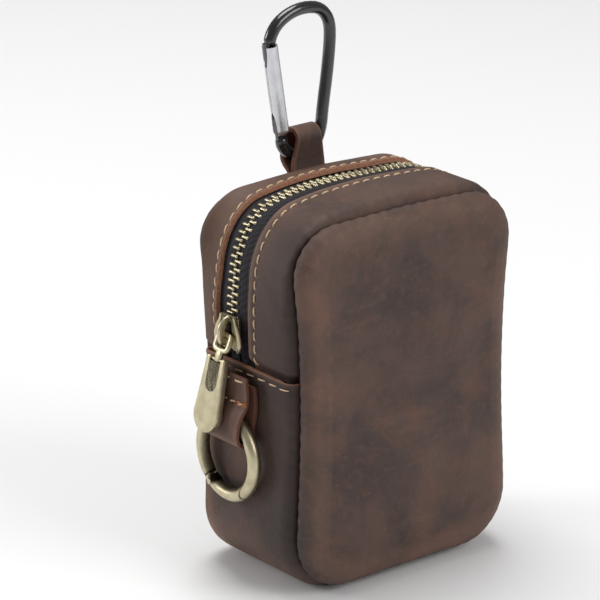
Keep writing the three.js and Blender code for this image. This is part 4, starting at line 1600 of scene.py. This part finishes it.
@dataclass
class SideTab:
    """The strap that is folded round the ring and stitched to the gusset."""

    finishes: Finishes
    ring: SpringRing
    thick: float = 1.3
    y: float = 3.6
    fold_width: float = 16.6
    tack_width: float = 19.4
    top_width: float = 18.0
    fold_z: float = 42.4
    tack_z: float = 55.0
    top_z: float = 63.4

    def make(self) -> None:
        """A slab carried along its path: up the back leaf, round the ring and up the front leaf."""
        ring_x = self.ring.centre[0]
        rear = ring_x + self.ring.wire + 0.25
        front = ring_x - self.ring.wire - 0.25
        radius = (rear - front) / 2
        bend = self.fold_z + self.thick + radius
        turn = np.linspace(0.0, -math.pi, 24)
        round_ring = np.stack([ring_x + (radius + self.thick) * np.cos(turn),
                               bend + (radius + self.thick) * np.sin(turn)], axis=1)
        upper = rounded_path([(front - self.thick, bend), (front - self.thick, self.tack_z - 3.0),
                              (rear - 2 * self.thick - 0.2, self.tack_z + 1.2),
                              (rear - 2 * self.thick - 0.2, self.top_z)], 4)
        lower = np.array([(rear + self.thick, self.top_z - 3.0), (rear + self.thick, bend)])
        line = np.concatenate([lower[:1], lower[1:], round_ring[1:], upper[1:]])
        stations = edge_stations(along(line)[-1], 150, 0.35)
        path = resample(line, stations)
        x, z = path[:, 0], path[:, 1]
        low = smoothstep(z, bend, self.tack_z)
        high = smoothstep(z, self.tack_z, self.top_z)
        wide = self.fold_width + (self.tack_width - self.fold_width) * low
        wide = (wide + (self.top_width - wide) * high) / 2
        across = edge_stations(2.0, 22, 0.035) - 1.0
        y = self.y + wide[:, None] * across[None]
        grid = np.stack([np.broadcast_to(x[:, None], y.shape), y,
                         np.broadcast_to(z[:, None], y.shape)], axis=-1)
        normals = surface_normals(grid)
        outward = np.sign((normals[-1, 10] * [-1.0, 0.0, 0.0]).sum())
        grid = grid if outward > 0 else grid[:, ::-1]
        normals = surface_normals(grid)
        tack = -0.16 * np.exp(-((z - self.tack_z - 0.8) / 0.8) ** 2) * (x < ring_x)
        grid = grid + normals * (0.12 * waves(grid, 15.0, 61) + tack[:, None])[..., None]
        near = wide[:, None] * (1.0 - np.abs(across[None]))
        rub = 0.7 * np.exp(-(near / 0.9) ** 2) + 0.5 * np.exp(-((z[:, None] - self.fold_z - 1.0) / 2.0) ** 2)
        draft = Draft("side_tab_leather")
        draft.add_slab(grid, self.thick, radius=0.35, wear=np.broadcast_to(rub, grid.shape[:2]))
        draft.build(self.finishes.strap, Body.POUCH, ["side_tab"])
        self.sew(grid, surface_normals(grid))

    def sew(self, grid: Array, normals: Array) -> None:
        """Sews the row across the tab under the ring's fold and the close tack at its front edge.

        Args:
            grid: The tab's outer surface.
            normals: Its normals.
        """
        leaf = np.arange(len(grid)) > len(grid) // 2
        height = np.where(leaf, grid[:, 5, 2], -99.0)
        row = int(np.argmin(np.abs(height - self.tack_z - 0.8)))
        thread = Draft("tab_stitches")
        Stitching(pitch=3.4, length=2.4, radius=0.26).sew(thread, grid[row, 4:-4], normals[row, 4:-4], 71)
        top = int(np.argmin(np.abs(height - 62.3)))
        Stitching(pitch=4.8, length=3.6).sew(thread, grid[top, 3:-3], normals[top, 3:-3], 72)
        thread.build(self.finishes.thread, Body.POUCH)
        tack = Draft("tab_tack")
        front = grid[row, :, 1] < -1.5
        for shift in (-0.42, 0.0, 0.42):
            path = grid[row][front] + np.array([0.0, 0.0, shift])
            Stitching(pitch=1.6, length=1.9, radius=0.26).sew(tack, path, normals[row][front], 73)
        tack.build(self.finishes.tack, Body.POUCH)


@dataclass
class HangLoop:
    """The folded strap in the back seam that holds the snap hook."""

    finishes: Finishes
    y: float = 22.9
    thick: float = 1.5
    bend_z: float = 119.6
    bend_radius: float = 2.2
    width: float = 11.7
    bend_left: float = -3.7
    bend_right: float = 5.0
    tail_z: float = 104.5

    def make(self) -> None:
        """A slab carried up the front leaf, over the hook's bar and down the back leaf."""
        reach = self.bend_radius + self.thick
        turn = np.linspace(math.pi, 0.0, 24)
        over = np.stack([self.y + reach * np.cos(turn), self.bend_z + reach * np.sin(turn)], axis=1)
        front = rounded_path([(18.3, self.tail_z), (18.3, 109.4), (self.y - reach, 112.4), tuple(over[0])], 4)
        back = rounded_path([tuple(over[-1]), (self.y + reach, 114.8), (24.6, 111.9), (21.5, 110.2),
                             (21.3, self.tail_z)], 4)
        line = np.concatenate([front[:-1], over, back[1:]])
        stations = edge_stations(along(line)[-1], 130, 0.35)
        path = resample(line, stations)
        y, z = path[:, 0], path[:, 1]
        taper = smoothstep(z, 111.0, 121.5)
        left = -self.width / 2 + (self.bend_left + self.width / 2) * taper
        right = self.width / 2 + (self.bend_right - self.width / 2) * taper
        share = edge_stations(1.0, 20, 0.03)
        x = left[:, None] + (right - left)[:, None] * share[None]
        grid = np.stack([x, np.broadcast_to(y[:, None], x.shape),
                         np.broadcast_to(z[:, None], x.shape)], axis=-1)
        normals = surface_normals(grid)
        if normals[20, 10, 1] > 0:
            grid = grid[:, ::-1]
            share = share[::-1]
        normals = surface_normals(grid)
        grid = grid + normals * (0.12 * waves(grid, 14.0, 81))[..., None]
        near = 11.0 * np.minimum(share, 1 - share)[None]
        rub = 0.75 * np.exp(-(near / 0.7) ** 2) + 0.35 * np.exp(-((z[:, None] - 122.8) / 1.6) ** 2)
        draft = Draft("hang_loop_leather")
        draft.add_slab(grid, self.thick, radius=0.35, wear=np.broadcast_to(rub, grid.shape[:2]))
        draft.build(self.finishes.strap, Body.POUCH, ["hang_loop"])


@dataclass
class SnapHook:
    """The enamelled snap hook with its bright sprung gate."""

    finishes: Finishes
    y: float = 22.9
    rod: float = 1.8
    gate: float = 2.3
    lug: float = 1.5
    pivot: tuple[float, float] = (-7.2, 123.2)
    nose: tuple[float, float] = (-11.1, 148.6)

    def gate_place(self) -> Place:
        """The gate's frame: its origin at the hinge, y along the gate and z to the outside of the hook.

        Returns:
            The frame.
        """
        run = np.array([self.nose[0] - self.pivot[0], 0.0, self.nose[1] - self.pivot[1]])
        up = unit(run)
        depth = np.array([0.0, 1.0, 0.0])
        return Place(np.array([self.pivot[0], self.y, self.pivot[1]]), depth, up, np.cross(depth, up))

    def bar(self) -> Array:
        """The bar's middle line, from the nose over the top and down the right side to the hinge.

        Returns:
            The points of its middle line.
        """
        points = [(self.nose[0], self.nose[1] + 0.4), (-10.6, 151.2), (-8.2, 154.4), (-3.2, 156.9),
                  (2.4, 157.5),
                  (7.4, 156.4), (10.5, 152.6), (10.9, 147.4), (9.7, 137.0), (8.0, 127.0), (7.4, 121.3),
                  (5.4, 116.9), (1.9, 114.8), (-1.9, 114.6), (-5.2, 116.1), (-7.0, 118.4),
                  (self.pivot[0], self.pivot[1] - self.gate - 0.3)]
        smooth = rounded_path([(x, self.y, z) for x, z in points], 4)
        return resample(smooth, np.linspace(0.0, along(smooth)[-1], 190))

    def make(self) -> None:
        """Makes the hook's body, its gate and the rivet that the gate turns on."""
        place = self.gate_place()
        span = math.hypot(self.nose[0] - self.pivot[0], self.nose[1] - self.pivot[1])
        outwards = -1.0 if place.z[0] > 0 else 1.0
        path = self.bar()
        soft = np.minimum(np.arange(len(path)), np.arange(len(path))[::-1])
        radius = self.rod * (1.0 - 0.16 * np.exp(-soft / 0.8))
        body = Draft("carabiner_body_enamel")
        body.add_rod(path, radius, 24)
        for low, high, near, far in ((span - 6.1, span + 0.9, 0.3, 2.05), (-3.7, 3.7, -0.9, 1.9)):
            tab = np.array([(low, near), (high, near), (high, far), (low, far)])
            across = np.stack([tab[:, 0], tab[:, 1] * outwards], axis=1)
            if outwards < 0:
                across = across[::-1]
            flat = Place(place.origin, place.y, place.z, place.x)
            body.add_plate(across, self.lug, 0.2, flat)
        body.build(self.finishes.enamel, Body.POUCH, ["carabiner_body"], sharp=50)
        self.gate_tube(place, span, outwards)
        rivet = Draft("carabiner_rivet_metal")
        reach = np.array([-2.25, -2.15, 0.0, 2.15, 2.25])
        pin = np.stack([np.full(5, self.pivot[0]), self.y + reach, np.full(5, self.pivot[1])], axis=1)
        rivet.add_rod(pin, np.array([0.55, 0.75, 0.75, 0.75, 0.55]), 20, up=(0.0, 0.0, 1.0))
        rivet.build(self.finishes.steel, Body.POUCH, ["carabiner_rivet"], sharp=50)

    def gate_tube(self, place: Place, span: float, outwards: float) -> None:
        """The gate: a tube with an open slot at each end of its outer side for the nose and the hinge lug.

        The wall is a grid over the height and the angle; the slot's half angle is arcsin(w / 2r) and
        fades to 0.

        Args:
            place: The gate's frame.
            span: The distance from the hinge to the nose.
            outwards: The sign of the frame's z that points out of the hook.
        """
        height = np.concatenate([[-2.2, -1.9], np.linspace(-1.4, 6.2, 24), np.linspace(6.8, span - 7.6, 24),
                                 np.linspace(span - 7.0, span - 0.5, 24), [span - 0.3]])
        low = np.sqrt(np.clip(1.0 - ((height - 0.0) / 5.6) ** 2 * (height > 0), 0.0, 1.0))
        high = np.sqrt(np.clip(1.0 - ((span - height) / 6.4) ** 2, 0.0, 1.0))
        half = math.asin((self.lug / 2 + 0.3) / self.gate)
        slot = half * np.maximum(low, high)
        round_end = self.gate * np.sqrt(np.clip(1.0 - (np.minimum(height, 0.0) / self.gate) ** 2, 0.02, 1.0))
        share = np.linspace(0.0, 1.0, 33)[None]
        angle = math.pi / 2 * outwards + slot[:, None] + share * (2 * math.pi - 2 * slot[:, None])
        draft = Draft("carabiner_gate_metal")
        walls = []
        for inner in (0.0, 0.55):
            radius = np.maximum(round_end - inner, 0.15)[:, None]
            local = np.stack([radius * np.cos(angle), np.broadcast_to(height[:, None], angle.shape),
                              radius * np.sin(angle)], axis=-1)
            walls.append(place.world(local))
            draft.add_grid(walls[-1])
        for column in (0, -1):
            draft.add_grid(np.stack([walls[0][:, column], walls[1][:, column]], axis=1))
        for row in (0, -1):
            draft.add_grid(np.stack([walls[0][row], walls[1][row]], axis=1))
        draft.build(self.finishes.steel, Body.HOOK_GATE, ["carabiner_gate"], sharp=50)


# The studio


@dataclass
class Studio:
    """The camera at the photo's angle, a pale floor and soft lights."""

    finishes: Finishes
    azimuth: float = -39.36
    elevation: float = 20.47
    distance: float = 0.930
    target: tuple[float, float, float] = (0.0, 0.0, 0.0501)
    lens: float = 192.9
    shift: tuple[float, float] = (-0.0858, 0.1427)

    def camera(self) -> None:
        """Puts the camera round the target: back = (sin a cos e, -cos a cos e, sin e)."""
        turn, rise = math.radians(self.azimuth), math.radians(self.elevation)
        back = np.array([math.sin(turn) * math.cos(rise), -math.cos(turn) * math.cos(rise), math.sin(rise)])
        data = bpy.data.cameras.new("camera")
        data.lens = self.lens
        data.sensor_width = 36.0
        data.shift_x, data.shift_y = self.shift
        data.clip_start, data.clip_end = 0.05, 50.0
        camera = bpy.data.objects.new("camera", data)
        camera.location = np.array(self.target) + back * self.distance
        camera.rotation_euler = (math.pi / 2 - rise, 0.0, turn)
        bpy.context.scene.collection.objects.link(camera)
        bpy.context.scene.camera = camera

    def floor(self) -> None:
        """A wide flat floor."""
        mesh = bpy.data.meshes.new("floor")
        mesh.from_pydata([(-6, -6, 0), (6, -6, 0), (6, 6, 0), (-6, 6, 0)], [], [(0, 1, 2, 3)])
        mesh.materials.append(self.finishes.floor.made())
        floor = bpy.data.objects.new("floor", mesh)
        bpy.context.scene.collection.objects.link(floor)

    def lamp(self, name: str, place: Colour, aim: Colour, size: float, power: float) -> None:
        """A square soft light.

        Args:
            name: The lamp's name.
            place: Where it is, in metres.
            aim: What it points at.
            size: Its width in metres.
            power: Its power in watts.
        """
        data = bpy.data.lights.new(name, "AREA")
        data.size = size
        data.energy = power
        lamp = bpy.data.objects.new(name, data)
        away = np.array(place) - np.array(aim)
        flat = math.hypot(away[0], away[1])
        lamp.location = place
        lamp.rotation_euler = (math.atan2(flat, away[2]), 0.0, math.atan2(away[0], -away[1]))
        bpy.context.scene.collection.objects.link(lamp)

    def make(self) -> None:
        """Makes the camera, the floor, the world and the lamps."""
        self.camera()
        self.floor()
        world = bpy.data.worlds.new("studio")
        world.use_nodes = True
        background = world.node_tree.nodes["Background"]
        background.inputs["Color"].default_value = (1.0, 1.0, 1.0, 1.0)
        background.inputs["Strength"].default_value = 0.3
        bpy.context.scene.world = world
        self.lamp("key", (0.35, -1.1, 0.75), (0.0, 0.0, 0.05), 0.7, 7.0)
        self.lamp("rim", (-0.95, 0.95, 0.55), (0.0, 0.0, 0.06), 0.5, 7.0)
        self.lamp("top", (0.1, 0.3, 1.5), (0.0, 0.0, 0.05), 0.8, 14.0)
        bpy.context.scene.view_settings.view_transform = "Standard"


def main() -> None:
    """Loads the frame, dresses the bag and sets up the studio."""
    logging.basicConfig(level=logging.INFO, format="%(name)s %(message)s")
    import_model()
    finishes = Finishes()
    pouch = Pouch(finishes)
    ring = SpringRing(finishes)
    parts = [pouch, Zip(finishes, pouch), Puller(finishes, pouch), ring, SideTab(finishes, ring),
             HangLoop(finishes), SnapHook(finishes), Studio(finishes)]
    for part in parts:
        part.make()
        log.info("made %s", type(part).__name__)


if __name__ == "__main__":
    main()
